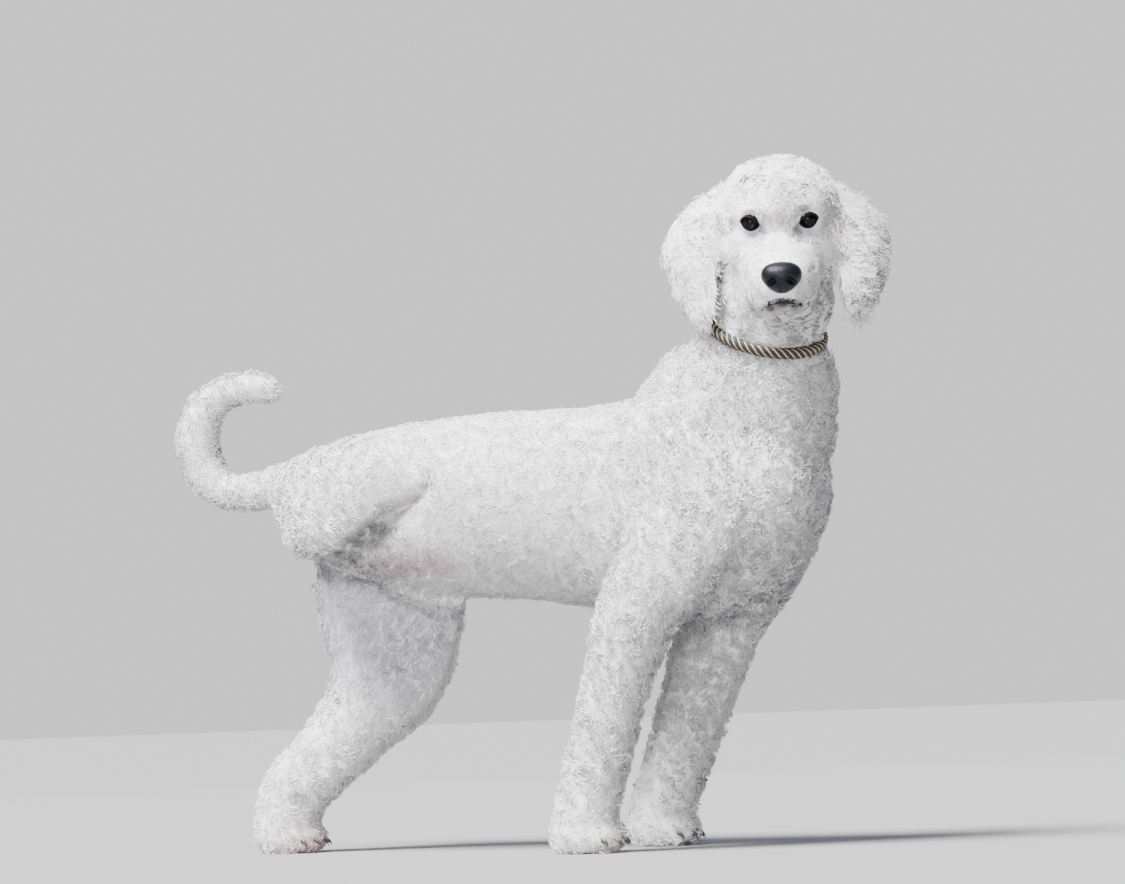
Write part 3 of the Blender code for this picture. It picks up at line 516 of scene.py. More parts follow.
def add_bumps(look, height, strength, distance):
    """Fine relief on a material."""
    raised = look.node_tree.nodes.new("ShaderNodeBump")
    raised.inputs["Strength"].default_value = strength
    raised.inputs["Distance"].default_value = distance
    look.node_tree.links.new(height, raised.inputs["Height"])
    shader = look.node_tree.nodes["Principled BSDF"]
    look.node_tree.links.new(raised.outputs["Normal"], shader.inputs["Normal"])


def new_effect(name, inputs, outputs):
    """A node group with named inputs and outputs, each given as (name, kind)."""
    group = bpy.data.node_groups.new(name, "ShaderNodeTree")
    for label, kind in inputs:
        group.interface.new_socket(name=label, in_out="INPUT", socket_type="NodeSocket" + kind)
    for label, kind in outputs:
        group.interface.new_socket(name=label, in_out="OUTPUT", socket_type="NodeSocket" + kind)
    return group, group.nodes.new("NodeGroupInput"), group.nodes.new("NodeGroupOutput")


# Spots of colour on skin and wool, the same on both, soft-edged in space. Some are the dog's own colour and
# some are painted shade. Skin shows pink at the flank fold, the groin and the toes. Wool is lilac grey inside
# the thigh, grey at the inner corners of the eyes and tan between the brows. Black round the mouth is the
# lips' own colour and painted shade in the gap between them. Painted shade also darkens the crease below the
# stump and the band under it, the brows, the gap between ear and cheek, in tan, and the wool below the mouth.
BODY_MARKS_AND_SHADE = [  # middle, half size, colour, strength
    ((-0.112, -0.060, 0.359), (0.084, 0.036, 0.017), (0.74, 0.52, 0.60), 0.75),
    ((-0.100, -0.085, 0.425), (0.024, 0.030, 0.013), (0.74, 0.60, 0.60), 0.35),
    # Painted shade: a grey band under the stump, then dark spots along the crease below it.
    ((-0.200, -0.050, 0.350), (0.090, 0.036, 0.022), (0.56, 0.55, 0.52), 0.55),
    ((-0.141, -0.084, 0.405), (0.028, 0.026, 0.0115), (0.10, 0.10, 0.09), 0.70),
    ((-0.166, -0.078, 0.392), (0.034, 0.026, 0.0125), (0.18, 0.18, 0.16), 0.60),
    ((-0.200, -0.068, 0.374), (0.032, 0.026, 0.0120), (0.15, 0.15, 0.13), 0.65),
    ((-0.238, -0.052, 0.363), (0.024, 0.026, 0.0100), (0.08, 0.08, 0.07), 0.80),
    ((-0.215, 0.045, 0.290), (0.120, 0.045, 0.120), (0.66, 0.64, 0.74), 0.45),
    ((-0.330, 0.046, 0.010), (0.040, 0.050, 0.028), (0.86, 0.58, 0.52), 0.55),
    ((0.175, -0.085, 0.012), (0.030, 0.045, 0.020), (0.86, 0.66, 0.60), 0.30),
]
# Painted shade: more dark spots along the upper end of the crease below the stump.
BODY_MARKS_AND_SHADE += [(row[:3], (0.018, 0.022, 0.0080), (0.14, 0.14, 0.12), 0.45) for row in FOLD[1:4]]
HEAD_MARKS_AND_SHADE = [
    ((0.010, 0.021, -0.0065), (0.020, 0.0075, 0.0085), (0.12, 0.11, 0.13), 0.90),
    ((0.010, -0.021, -0.0065), (0.020, 0.0075, 0.0085), (0.12, 0.11, 0.13), 0.90),
    ((0.010, 0.029, -0.014), (0.020, 0.018, 0.015), (0.52, 0.50, 0.60), 0.65),
    ((0.010, -0.029, -0.014), (0.020, 0.018, 0.015), (0.52, 0.50, 0.60), 0.65),
    ((0.010, 0.0, 0.012), (0.030, 0.016, 0.012), (0.72, 0.62, 0.52), 0.40),
    # Painted shade above the inner corners of the eyes, from the brow hair, stronger over the left eye.
    ((0.010, 0.028, 0.018), (0.030, 0.010, 0.006), (0.30, 0.28, 0.30), 0.75),
    ((0.010, -0.028, 0.017), (0.030, 0.010, 0.005), (0.34, 0.32, 0.34), 0.35),
    # Painted shade, in tan, in the gap between each ear and the cheek.
    ((-0.030, 0.074, -0.052), (0.030, 0.012, 0.050), (0.66, 0.50, 0.37), 0.75),
    ((-0.030, -0.076, -0.052), (0.030, 0.012, 0.050), (0.66, 0.50, 0.37), 0.75),
    # Painted shade on the wool below the mouth.
    ((0.098, 0.0, -0.080), (0.020, 0.024, 0.012), (0.55, 0.52, 0.50), 0.40),
    # Black round the mouth: the lips' own colour, and painted shade in the gap between them.
    ((0.100, 0.0, -0.0720), (0.020, 0.015, 0.0085), (0.04, 0.035, 0.04), 0.95),
    ((0.096, 0.0150, -0.0775), (0.020, 0.010, 0.0070), (0.08, 0.07, 0.07), 0.85),
    ((0.096, -0.0150, -0.0775), (0.020, 0.010, 0.0070), (0.08, 0.07, 0.07), 0.85),
]
WOOL_WHITE = (0.98, 0.975, 0.98)
WOOL_CREAM = (0.95, 0.93, 0.90)
# Colour at the roots of the tufts: partly cream wool, partly painted shade deep in the coat.
WOOL_ROOT_CREAM_AND_SHADE = (0.72, 0.68, 0.62)

marks_and_shade_group, start, end = new_effect("Markings", [("Ground", "Color")], [("Color", "Color")])
where = marks_and_shade_group.nodes.new("ShaderNodeTexCoord")
colour = start.outputs["Ground"]
spots = [(Vector(spot) + STAND, size, tint, share, Matrix()) for spot, size, tint, share in BODY_MARKS_AND_SHADE]
spots += [(Vector(spot), size, tint, share, head_place) for spot, size, tint, share in HEAD_MARKS_AND_SHADE]
for middle, size, tint, share, place in spots:
    turned = marks_and_shade_group.nodes.new("ShaderNodeMapping")
    turned.vector_type = "TEXTURE"
    turned.inputs["Location"].default_value = place @ middle
    turned.inputs["Rotation"].default_value = place.to_euler()
    turned.inputs["Scale"].default_value = size
    marks_and_shade_group.links.new(where.outputs["Object"], turned.inputs["Vector"])
    away = marks_and_shade_group.nodes.new("ShaderNodeVectorMath")
    away.operation = "LENGTH"
    marks_and_shade_group.links.new(turned.outputs["Vector"], away.inputs[0])
    fade = marks_and_shade_group.nodes.new("ShaderNodeMapRange")
    fade.interpolation_type = "SMOOTHSTEP"
    fade.inputs["From Min"].default_value = 1.25
    fade.inputs["From Max"].default_value = 0.35
    fade.inputs["To Max"].default_value = share
    marks_and_shade_group.links.new(away.outputs["Value"], fade.inputs["Value"])
    mix = marks_and_shade_group.nodes.new("ShaderNodeMix")
    mix.data_type = "RGBA"
    marks_and_shade_group.links.new(fade.outputs["Result"], mix.inputs["Factor"])
    marks_and_shade_group.links.new(colour, mix.inputs[6])
    mix.inputs[7].default_value = (*tint, 1.0)
    colour = mix.outputs[2]
marks_and_shade_group.links.new(colour, end.inputs["Color"])

skin_look, nodes, links, shader = new_material("Short_wool", 0.95, 0.2)
where = nodes.new("ShaderNodeTexCoord")
waves = nodes.new("ShaderNodeTexNoise")
waves.inputs["Scale"].default_value = 320.0
waves.inputs["Detail"].default_value = 4.0
links.new(where.outputs["Object"], waves.inputs["Vector"])
marks_and_shade_node = nodes.new("ShaderNodeGroup")
marks_and_shade_node.node_tree = marks_and_shade_group
ground = two_tones(skin_look, waves.outputs["Fac"], WOOL_CREAM, WOOL_WHITE, (0.30, 0.62))
links.new(ground, marks_and_shade_node.inputs["Ground"])
links.new(marks_and_shade_node.outputs["Color"], shader.inputs["Base Color"])
add_bumps(skin_look, waves.outputs["Fac"], 0.6, 0.002)
skin.data.materials.append(skin_look)
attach(skin, "root")
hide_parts(*FLESH)

# Wool: tapered tufts, rooted on the skin and laid along the coat.
# Curly wool rises and then rolls over in small loops that neighbours share. Clipped wool is short and bends
# down flat. Each tuft is a closed form of three sides that tapers to its tip.
WOOL_SEED = 7
CURLY_SPACE = 10.0e-6  # skin for each curly tuft and each clipped tuft
SHORT_SPACE = 9.6e-6
HEAD_SPACE = 3.6e-6
EAR_SPACE = 5.2e-6
CURL_SIZE = 0.0085
SHEER = 0.55  # share of the tufts that are too fine to shade the wool behind them
SHEER_HEAD = 0.25  # added to it on head and ears
CURLED_FROM = 0.40
EYE_CLEAR = 0.85  # no wool nearer than this, by the half sizes of socket and nose pad
NOSE_CLEAR = 0.98
SOLE_CLEAR = 0.004  # no wool below this height
TIP_CLEAR = 0.0004  # tips stay above the floor
RELIEF = (38.0, 0.35, 0.14)  # bumps of the coat for each metre, and their share of clipped and curly length
SOFTNESS = (0.40, 0.85)  # how far the tufts of body and head are shaded as the skin below them
chance = np.random.default_rng(WOOL_SEED)


def unit(vectors):
    return vectors / np.maximum(np.linalg.norm(vectors, axis=-1, keepdims=True), 1e-9)


skin.data.calc_loop_triangles()
corners = array_of(skin.data.loop_triangles, "vertices", 3, np.int32)
corner_loops = array_of(skin.data.loop_triangles, "loops", 3, np.int32)
unwrapped = array_of(skin.data.uv_layers["OFBake"].data, "uv", 2).astype(np.float64)
area = 0.5 * np.linalg.norm(
    np.cross(
        skin_spots[corners[:, 1]] - skin_spots[corners[:, 0]],
        skin_spots[corners[:, 2]] - skin_spots[corners[:, 0]],
    ),
    axis=1,
)


def scatter(wanted):
    """Spreads roots over the skin, as many in each triangle as it calls for."""
    total = np.cumsum(wanted)
    count = int(total[-1])
    found = np.searchsorted(total, (np.arange(count) + chance.random(count)) * total[-1] / count)
    found = np.minimum(found, len(wanted) - 1)
    share = np.sort(chance.random((count, 2)), axis=1)
    return found, np.column_stack([share[:, 0], share[:, 1] - share[:, 0], 1 - share[:, 1]])


def at_roots(values, found, share):
    weights = share if values.ndim == 1 else share[:, :, None]
    return (values[corners[found]] * weights).sum(axis=1)


space = SHORT_SPACE + (CURLY_SPACE - SHORT_SPACE) * curly
space = np.where(is_region("head"), HEAD_SPACE, np.where(ears, EAR_SPACE, space))
rooted, share = scatter(area / space[corners].mean(axis=1))
root = at_roots(skin_spots, rooted, share)
up = unit(at_roots(skin_normals, rooted, share))
root_depth = at_roots(depth, rooted, share)
root_curly = at_roots(curly, rooted, share)
root_region = skin_region[corners[rooted, 0]]
root_patch = (unwrapped[corner_loops[rooted]] * share[:, :, None]).sum(axis=1)
clear = np.ones(len(root), bool)
root_local = in_head(root)
for side in (-1, 1):
    off = root_local - np.array(mirrored(EYE, side)) + (0, 0, 0.0014)
    clear &= np.linalg.norm(off / (2, *SOCKET_HALF), axis=1) > EYE_CLEAR
clear &= np.linalg.norm((root_local - np.array(NOSE)) / np.array(NOSE_SIZE), axis=1) > NOSE_CLEAR
clear &= root[:, 2] > SOLE_CLEAR
MOUTH_MIDDLE = (0.055, 0.0, -0.0685)
MOUTH_DROOP = 0.0400
MOUTH_TURN = 0.8  # angle to either side that the lips reach
LIP_BARE = (0.0030, 0.0006)  # skin without wool above and below them, amid and at the corners
LIP_SHARE = 0.45  # length of the wool just above the lip
mouth_turn = np.arctan2(root_local[:, 1], root_local[:, 0] - MOUTH_MIDDLE[0])
mouth_high = root_local[:, 2] - MOUTH_MIDDLE[2] + MOUTH_DROOP * np.sin(mouth_turn) ** 2
before = (root_local[:, 0] > 0.06) & (np.abs(mouth_turn) < MOUTH_TURN)
bare = LIP_BARE[0] + (LIP_BARE[1] - LIP_BARE[0]) * np.abs(mouth_turn) / MOUTH_TURN
clear &= ~(before & (np.abs(mouth_high) < bare))
over_lip = ramp(mouth_high + 0.012 * np.abs(mouth_turn), 0.003, 0.016)
lip_near = np.where(before & (mouth_high > 0), LIP_SHARE + (1 - LIP_SHARE) * over_lip, 1)
kept = (root, up, root_depth, root_curly, root_region, root_patch, root_local, lip_near)
root, up, root_depth, root_curly, root_region, root_patch, root_local, lip_near = (
    values[clear] for values in kept
)
root_dog = root - np.array(STAND)
relief = np.array([noise.noise(Vector(spot) * RELIEF[0]) for spot in root])
root_depth *= 1 + (RELIEF[1] + (RELIEF[2] - RELIEF[1]) * root_curly) * relief
eye_near = lip_near.copy()
eye_part = np.zeros_like(root)
for side in (-1, 1):
    off = root_local - np.array(mirrored(EYE, side))
    away = np.linalg.norm(off, axis=1)
    eye_near *= 0.45 + 0.55 * ramp(away, 0.013, 0.030)
    parting = ramp(away, 0.032, 0.014) * np.where(off[:, 2] > 0.5 * away, -0.6, 2.5)
    eye_part += off / away[:, None] * parting[:, None]
root_depth *= eye_near
COLLAR_PRESSED = 0.35  # share of the coat's depth that is left under the rope
off = root - np.array(COLLAR_PLACE)
high = off @ np.array(COLLAR_FACING.normalized())
across = np.linalg.norm(off - high[:, None] * np.array(COLLAR_FACING.normalized()), axis=1)
beside = np.minimum(across - COLLAR_RING, 0) + np.maximum(across - COLLAR_RING - 0.02, 0)
root_depth *= COLLAR_PRESSED + (1 - COLLAR_PRESSED) * ramp(np.hypot(beside, high), 0.007, 0.020)


def on(*names):
    return np.isin(root_region, [FLESH.index(name) for name in names])


NECK_LIE = (-0.35, 0.08, -1.0)  # way the coat lies: forward, sideways and up
FORELEG_LIE = (-0.15, 0.0, -1.0)
THIGH_LIE = (-0.35, 0.0, -1.0)
SHANK_LIE = (-0.30, 0.0, -1.0)
on_head = on("head", "ear_left", "ear_right")
forward = ramp(root_dog[:, 0], 0.12, 0.34)
lie = np.column_stack([-1 + 0.9 * forward, np.zeros_like(forward), -0.30 - 0.7 * forward])
behind = (ramp(root_dog[:, 0], -0.06, -0.16) * ramp(root_dog[:, 2], 0.50, 0.37))[:, None]
lie += (np.array(THIGH_LIE) - lie) * behind
lie[on("neck")] = NECK_LIE
lie[on("foreleg_left", "foreleg_right", "paw_fore_left", "paw_fore_right")] = FORELEG_LIE
lie[on("thigh_left")] = THIGH_LIE
lie[on("lower_leg_left", "paw_hind_left")] = SHANK_LIE
tail_rows = np.array([list(row) for row in smooth_rows(TAIL)])[:, :3]
tail = on("tail_base", "tail_curl")
nearest = np.linalg.norm(root_dog[tail, None] - tail_rows[None], axis=2).argmin(axis=1)
lie[tail] = np.gradient(tail_rows, axis=0)[nearest]
WHORL = (0.110, 0.0, -0.030)
head = on("head")
head_turned = np.array(head_place.to_3x3())
outward = root_local[head] - np.array(WHORL)  # the coat of the head runs back from the nose
outward[:, 2] *= 0.8
outward = unit(outward)
nape = ramp(root_local[head, 0], -0.050, -0.105)[:, None]
outward += (np.array((-0.2, 0.0, -1.0)) - outward) * nape
beard = ramp(root_local[head, 0], 0.000, 0.085) * ramp(root_local[head, 2], -0.045, -0.090)
outward += beard[:, None] * np.array((0.1, 0.0, -2.5)) + eye_part[head]
lie[head] = outward @ head_turned.T
on_ears = on("ear_left", "ear_right")
lie[on_ears] = (0.0, 0.0, -1.0) + 0.45 * np.sign(root_local[on_ears, 1])[:, None] * head_turned[:, 1]
lie = unit(lie)

spread = []
cells = {}
draw = chance.permutation(len(root))
for index in draw:
    reach = CURL_SIZE
    cell = tuple(int(v // reach) for v in root[index])
    near = (
        cells.get((cell[0] + i, cell[1] + j, cell[2] + k))
        for i in (-1, 0, 1) for j in (-1, 0, 1) for k in (-1, 0, 1)
    )
    if all(other is None or ((root[index] - root[other]) ** 2).sum() > reach ** 2 * 0.75 for other in near):
        cells[cell] = index
        spread.append(index)
curls = KDTree(len(spread))
for index in spread:
    curls.insert(root[index], index)
curls.balance()
curl_of = np.array([curls.find(spot)[1] for spot in root])
curl_draw = chance.random((len(root), 5))[curl_of]
BENDING = ((0.0, 0.30, 0.62, 1.0), (1.0, 0.85, 0.22, -0.15))  # how a tuft leans over from root to tip
SWELLING = ((0.0, 0.25, 0.75, 1.0), (0.8, 1.0, 0.85, 0.0))  # how its width goes
FLATNESS = 0.6  # thickness of a tuft by its width
PATCH = 0.003  # its share of the map


def grow(chosen, steps, long, wide, rise, swing, swirl, gather):
    """Closed tufts of three sides that wind round their spines: spots, faces, patch and share of length."""
    knots = np.linspace(0.0, 1.0, steps + 1)
    between = (knots[1:] + knots[:-1]) / 2
    n, t = up[chosen], lie[chosen]
    t = unit(t - n * (t * n).sum(axis=1, keepdims=True))
    b = np.cross(n, t)
    turn = swing[:, None] + swirl[:, None] * ramp(between, 0.12, 1.0)
    heading = rise[:, None] * np.interp(between, *BENDING)
    lengths = (long / steps)[:, None]
    pull = root[curl_of[chosen]] - root[chosen]
    pull -= n * (pull * n).sum(axis=1, keepdims=True)
    spine = np.empty((len(chosen), steps + 1, 3))
    spine[:, 0] = root[chosen]
    for k in range(steps):
        ahead = t * np.cos(turn[:, k, None]) + b * np.sin(turn[:, k, None])
        way = ahead * np.cos(heading[:, k, None]) + n * np.sin(heading[:, k, None])
        spine[:, k + 1] = spine[:, k] + way * lengths + pull * (gather[:, None] / steps)
    along = unit(np.gradient(spine, axis=1))
    flat = unit(np.cross(n[:, None], along) + 1e-6)
    thick = np.cross(along, flat)
    half = (wide / 2)[:, None, None] * np.interp(knots, *SWELLING)[:, None]
    angle = math.tau * (np.arange(steps + 1) / 3)[:, None]
    round_it = np.cos(angle) * flat + np.sin(angle) * thick
    spots = spine + half * (round_it - (1 - FLATNESS) * np.sin(angle) * thick)
    soft = SOFTNESS[0] + (SOFTNESS[1] - SOFTNESS[0]) * on_head[chosen]
    soft *= (1 - root_curly[chosen]) ** (1.5 - 0.9 * on_head[chosen])
    soft = soft[:, None, None]
    shaded = unit(soft * n[:, None] + (1 - soft) * round_it)
    faces = [(0, 2, 1), (steps - 2, steps - 1, steps)]
    for k in range(steps - 2):
        faces += [(k, k + 1, k + 3), (k, k + 3, k + 2)]
    across = np.arange(steps + 1) % 3 / 2
    patch = root_patch[chosen][:, None] + np.stack([across - 0.5, knots - 0.5], axis=1)[None] * PATCH
    return spots, shaded, np.array(faces), patch, knots


tone = chance.random(len(root))


def coat_piece(name, parts, shades):
    """Joins tufts of several makes into one piece of coat."""
    spots, normals, faces, patches, rows, tones = [], [], [], [], [], []
    base = 0
    for chosen, (points, shaded, pattern, patch, along) in parts:
        count, each = points.shape[:2]
        spots.append(points.reshape(-1, 3))
        normals.append(shaded.reshape(-1, 3))
        faces.append((pattern[None] + base + each * np.arange(count)[:, None, None]).reshape(-1, 3))
        patches.append(patch.reshape(-1, 2))
        rows.append(np.tile(along, count))
        tones.append(np.repeat(tone[chosen], each))
        base += count * each
    spots, faces, patches = np.concatenate(spots), np.concatenate(faces), np.concatenate(patches)
    spots[:, 2] = np.maximum(spots[:, 2], TIP_CLEAR)
    mesh = bpy.data.meshes.new(name)
    mesh.vertices.add(len(spots))
    mesh.vertices.foreach_set("co", spots.astype(np.float32).ravel())
    mesh.loops.add(faces.size)
    mesh.loops.foreach_set("vertex_index", faces.astype(np.int32).ravel())
    mesh.polygons.add(len(faces))
    mesh.polygons.foreach_set("loop_start", np.arange(0, faces.size, 3, dtype=np.int32))
    mesh.update(calc_edges=True)
    layer = mesh.uv_layers.new(name="OFBake")
    layer.data.foreach_set("uv", patches[faces.ravel()].astype(np.float32).ravel())
    for label, values in (("along", rows), ("tone", tones)):
        kept = mesh.attributes.new(label, "FLOAT", "POINT")
        kept.data.foreach_set("value", np.concatenate(values).astype(np.float32))
    mesh.shade_smooth()
    mesh.normals_split_custom_set_from_vertices(np.concatenate(normals))
    piece = bpy.data.objects.new(name, mesh)
    bpy.context.scene.collection.objects.link(piece)
    mesh.materials.append(wool_look)
    piece.visible_shadow = shades
    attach(piece, "root")


WOOL_THROUGH = 0.42  # share of the light that comes through a tuft from behind
wool_look, nodes, links, shader = new_material("Wool", 0.85, 0.25)
tones = nodes.new("ShaderNodeAttribute")
tones.attribute_name = "tone"
lengths = nodes.new("ShaderNodeAttribute")
lengths.attribute_name = "along"
blend = nodes.new("ShaderNodeMath")
blend.operation = "MULTIPLY_ADD"
links.new(lengths.outputs["Fac"], blend.inputs[0])
blend.inputs[1].default_value = 0.5
scaled = nodes.new("ShaderNodeMath")
scaled.operation = "MULTIPLY"
scaled.inputs[1].default_value = 0.5
links.new(tones.outputs["Fac"], scaled.inputs[0])
links.new(scaled.outputs[0], blend.inputs[2])
marks_and_shade_node = nodes.new("ShaderNodeGroup")
marks_and_shade_node.node_tree = marks_and_shade_group
# The wool darkens towards the root, more on some tufts at random: partly cream, partly painted shade deep in
# the coat.
ground = two_tones(wool_look, blend.outputs[0], WOOL_ROOT_CREAM_AND_SHADE, WOOL_WHITE, (0.10, 0.50))
links.new(ground, marks_and_shade_node.inputs["Ground"])
links.new(marks_and_shade_node.outputs["Color"], shader.inputs["Base Color"])
facing_out = nodes.new("ShaderNodeNewGeometry")
flipped = nodes.new("ShaderNodeVectorMath")
flipped.operation = "SCALE"
flipped.inputs["Scale"].default_value = -1.0
links.new(facing_out.outputs["Normal"], flipped.inputs[0])
through = nodes.new("ShaderNodeBsdfTranslucent")
links.new(marks_and_shade_node.outputs["Color"], through.inputs["Color"])
links.new(flipped.outputs["Vector"], through.inputs["Normal"])
mixed = nodes.new("ShaderNodeMixShader")
mixed.inputs["Fac"].default_value = WOOL_THROUGH
links.new(shader.outputs["BSDF"], mixed.inputs[1])
links.new(through.outputs["BSDF"], mixed.inputs[2])
links.new(mixed.outputs["Shader"], nodes["Material Output"].inputs["Surface"])

CURL_STEPS = 9
SHORT_STEPS = 6
coats = {
    "coat_torso": ["torso"],
    "coat_stump_right": ["stump_right"],
    "coat_tail": ["tail_base", "tail_curl"],
    "coat_neck": ["neck"],
    "coat_head": ["head"],
    "coat_ears": ["ear_left", "ear_right"],
    "coat_foreleg_right": ["foreleg_right", "paw_fore_right"],
    "coat_foreleg_left": ["foreleg_left", "paw_fore_left"],
    "coat_hind_leg_left": ["thigh_left", "lower_leg_left", "paw_hind_left"],
}
MOST_FACES = 190000  # in one piece
FRINGE_LENGTH = 0.013  # added to half of the tufts behind the hind leg
hanging = on_ears * ramp(-up[:, 2], -0.80, -0.20)
leg_behind = on("thigh_left", "lower_leg_left", "paw_hind_left") * 1.0
sheer = chance.random(len(root)) < SHEER + SHEER_HEAD * on_head
beard = ramp(root_local[:, 2], -0.078, -0.104) * ramp(root_local[:, 0], -0.020, 0.050) * on("head")
fringe = leg_behind * ramp(-up[:, 0], 0.30, 0.85) * ramp(root_dog[:, 2], 0.13, 0.20)
fringe *= chance.random(len(root)) < 0.5
for name, fine in [(name, fine) for name in coats for fine in (False, True)]:
    here = on(*coats[name]) & (sheer == fine)
    name += "_fine" * fine
    parts = []
    for curled, steps in ((True, CURL_STEPS), (False, SHORT_STEPS)):
        chosen = np.flatnonzero(here & ((root_curly > CURLED_FROM) == curled))
        count = len(chosen)
        if not count:
            continue
        curl = root_curly[chosen]
        of_head = on_head[chosen]
        draws = curl_draw[chosen]
        loose = chance.random((count, 4)) - 0.5
        combed = leg_behind[chosen]
        hangs = hanging[chosen]
        near = eye_near[chosen]
        # Curly wool is longer and winds more. That of the head is finer, and that of the ears hangs.
        vary = np.where(of_head, 0.16, 0.55 - 0.35 * curl)
        long = root_depth[chosen] * (1.55 + 0.60 * curl + 0.20 * of_head + 1.30 * hangs)
        long *= 1 + vary * (draws[:, 4] - 0.5)
        long = (long + 0.003 * near) * (1 + 0.30 * loose[:, 0]) + FRINGE_LENGTH * fringe[chosen]
        long *= 1 + 0.7 * beard[chosen]
        rise = 44 + 12 * curl - 20 * hangs + 10 * draws[:, 1] + 24 * loose[:, 1] + 12 * fringe[chosen]
        swing = 1.2 + 3.4 * curl * (1 - of_head) * (1 - 0.7 * combed) + 0.4 * of_head - 1.0 * hangs
        swing = (draws[:, 0] - 0.5) * swing + loose[:, 2] * (1.0 - 0.3 * curl)
        swirl = curl * (2.0 + 2.2 * draws[:, 3]) * (1 - 0.35 * of_head - 0.45 * combed - 0.30 * hangs)
        swirl += 0.5 + 0.6 * draws[:, 3]
        swirl = np.sign(draws[:, 2] - 0.5) * swirl * (1 - 0.8 * fringe[chosen]) + loose[:, 3]
        wide = (0.00115 + 0.00020 * curl - 0.00042 * of_head) * (1 + 0.5 * loose[:, 0]) * (0.45 + 0.55 * near)
        gather = 0.15 + (0.25 - 0.10 * of_head) * curl
        parts.append((chosen, grow(chosen, steps, long, wide, np.radians(rise), swing, swirl, gather)))
    total = sum(len(chosen) * len(made[2]) for chosen, made in parts)
    pieces = math.ceil(total / MOST_FACES)
    for number in range(pieces):
        bits = []
        for chosen, (points, shaded, pattern, patch, along) in parts:
            order = np.argsort(root[chosen, 0], kind="stable")
            cut = order[len(order) * number // pieces : len(order) * (number + 1) // pieces]
            bits.append((chosen[cut], (points[cut], shaded[cut], pattern, patch[cut], along)))
        coat_piece(name if pieces == 1 else f"{name}_{number + 1}", bits, not fine)

# Eyes: dark brown, almost black balls with a wet, slightly raised cornea.
# Each sits in its socket behind black rims, which are pinched at both corners and slant down towards the
# nose, under the wool of the brow.
LID_THICKNESS = 0.0014
LID_LIFT = 0.0006
EYE_TILT = 0.20
EYE_PINCH = 0.45
CORNEA_FROM = 0.72
CORNEA_RISE = 0.10
eye_look = new_material("Eye_brown", 0.04, 0.15, (0.003, 0.0018, 0.0014))[0]
lid_look = new_material("Lid_black", 0.6, 0.12, (0.010, 0.008, 0.009))[0]


def add_hoop(work, stations, sides=8):
    """A round bar bent into a closed hoop. Each station is a spot, two directions and a half width."""
    loops = []
    for middle, first, second, half in stations:
        angles = [math.tau * k / sides for k in range(sides)]
        spots = [middle + (first * math.cos(a) + second * math.sin(a)) * half for a in angles]
        loops.append([work.verts.new(spot) for spot in spots])
    for here, there in zip(loops, loops[1:] + loops[:1]):
        for k in range(sides):
            n = (k + 1) % sides
            work.faces.new((here[k], here[n], there[n], there[k]))


for side, word in ((-1, "right"), (1, "left")):
    socket = eye_place(side)
    work = bmesh.new()
    bmesh.ops.create_uvsphere(work, u_segments=40, v_segments=28, radius=EYE_RADIUS)
    for vert in work.verts:
        out = vert.co.normalized().x
        if out > CORNEA_FROM:
            vert.co *= 1 + CORNEA_RISE * ((out - CORNEA_FROM) / (1 - CORNEA_FROM)) ** 0.8
    work.transform(socket)
    eye = keep_in_scene("eye_ball_" + word, work)
    eye.data.materials.append(eye_look)
    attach(eye, "root")
    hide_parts("eye_" + word)
    work = bmesh.new()
    stations = []
    for angle in [math.tau * i / 40 for i in range(40)]:
        across = EYE_HALF[0] * math.cos(angle)
        high = EYE_HALF[1] * math.sin(angle) * (1 - EYE_PINCH * abs(math.cos(angle)) ** 3)
        high += EYE_TILT * across * side
        reach = math.sqrt(max((EYE_RADIUS + LID_LIFT) ** 2 - across ** 2 - high ** 2, 1e-6))
        outward = Vector((0, across, high)).normalized()
        swell = LID_THICKNESS * (1.25 if high > 0 else 0.9)
        stations.append((Vector((reach, across, high)), outward, Vector((1, 0, 0)), swell))
    add_hoop(work, stations)
    work.transform(socket)
    lid = keep_in_scene("lids_" + word, work)
    lid.data.materials.append(lid_look)
    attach(lid, "root")

# Claws: four on each foot, of dark horn.
# Each grows from the end of its toe, below the wool, and curves down almost to the floor.
CLAW_PATH = [  # forward, up and half width
    (0.0145, 0.0000, 0.0024),
    (0.0190, -0.0012, 0.0021),
    (0.0225, -0.0042, 0.0015),
    (0.0240, -0.0085, 0.0005),
]
CLAW_HEIGHT = 1.3  # by its width
claw_look = new_material("Claw_horn", 0.35, tint=(0.060, 0.050, 0.045))[0]
for name, leg in (("fore_right", FORELEG_RIGHT), ("fore_left", FORELEG_LEFT), ("hind_left", HIND_LEG)):
    work = bmesh.new()
    for toe in foot_and_toes(leg)[1]:
        rings = []
        for x, z, radius in smooth_rows(CLAW_PATH, 3):
            rings.append([])
            for angle in [math.tau * k / 12 for k in range(12)]:
                high = z + radius * math.sin(angle) * CLAW_HEIGHT
                rings[-1].append(toe @ Vector((x, radius * math.cos(angle), high)))
        add_loft(work, rings)
    claws = keep_in_scene("claws_" + name, work)
    claws.data.materials.append(claw_look)
    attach(claws, "root")

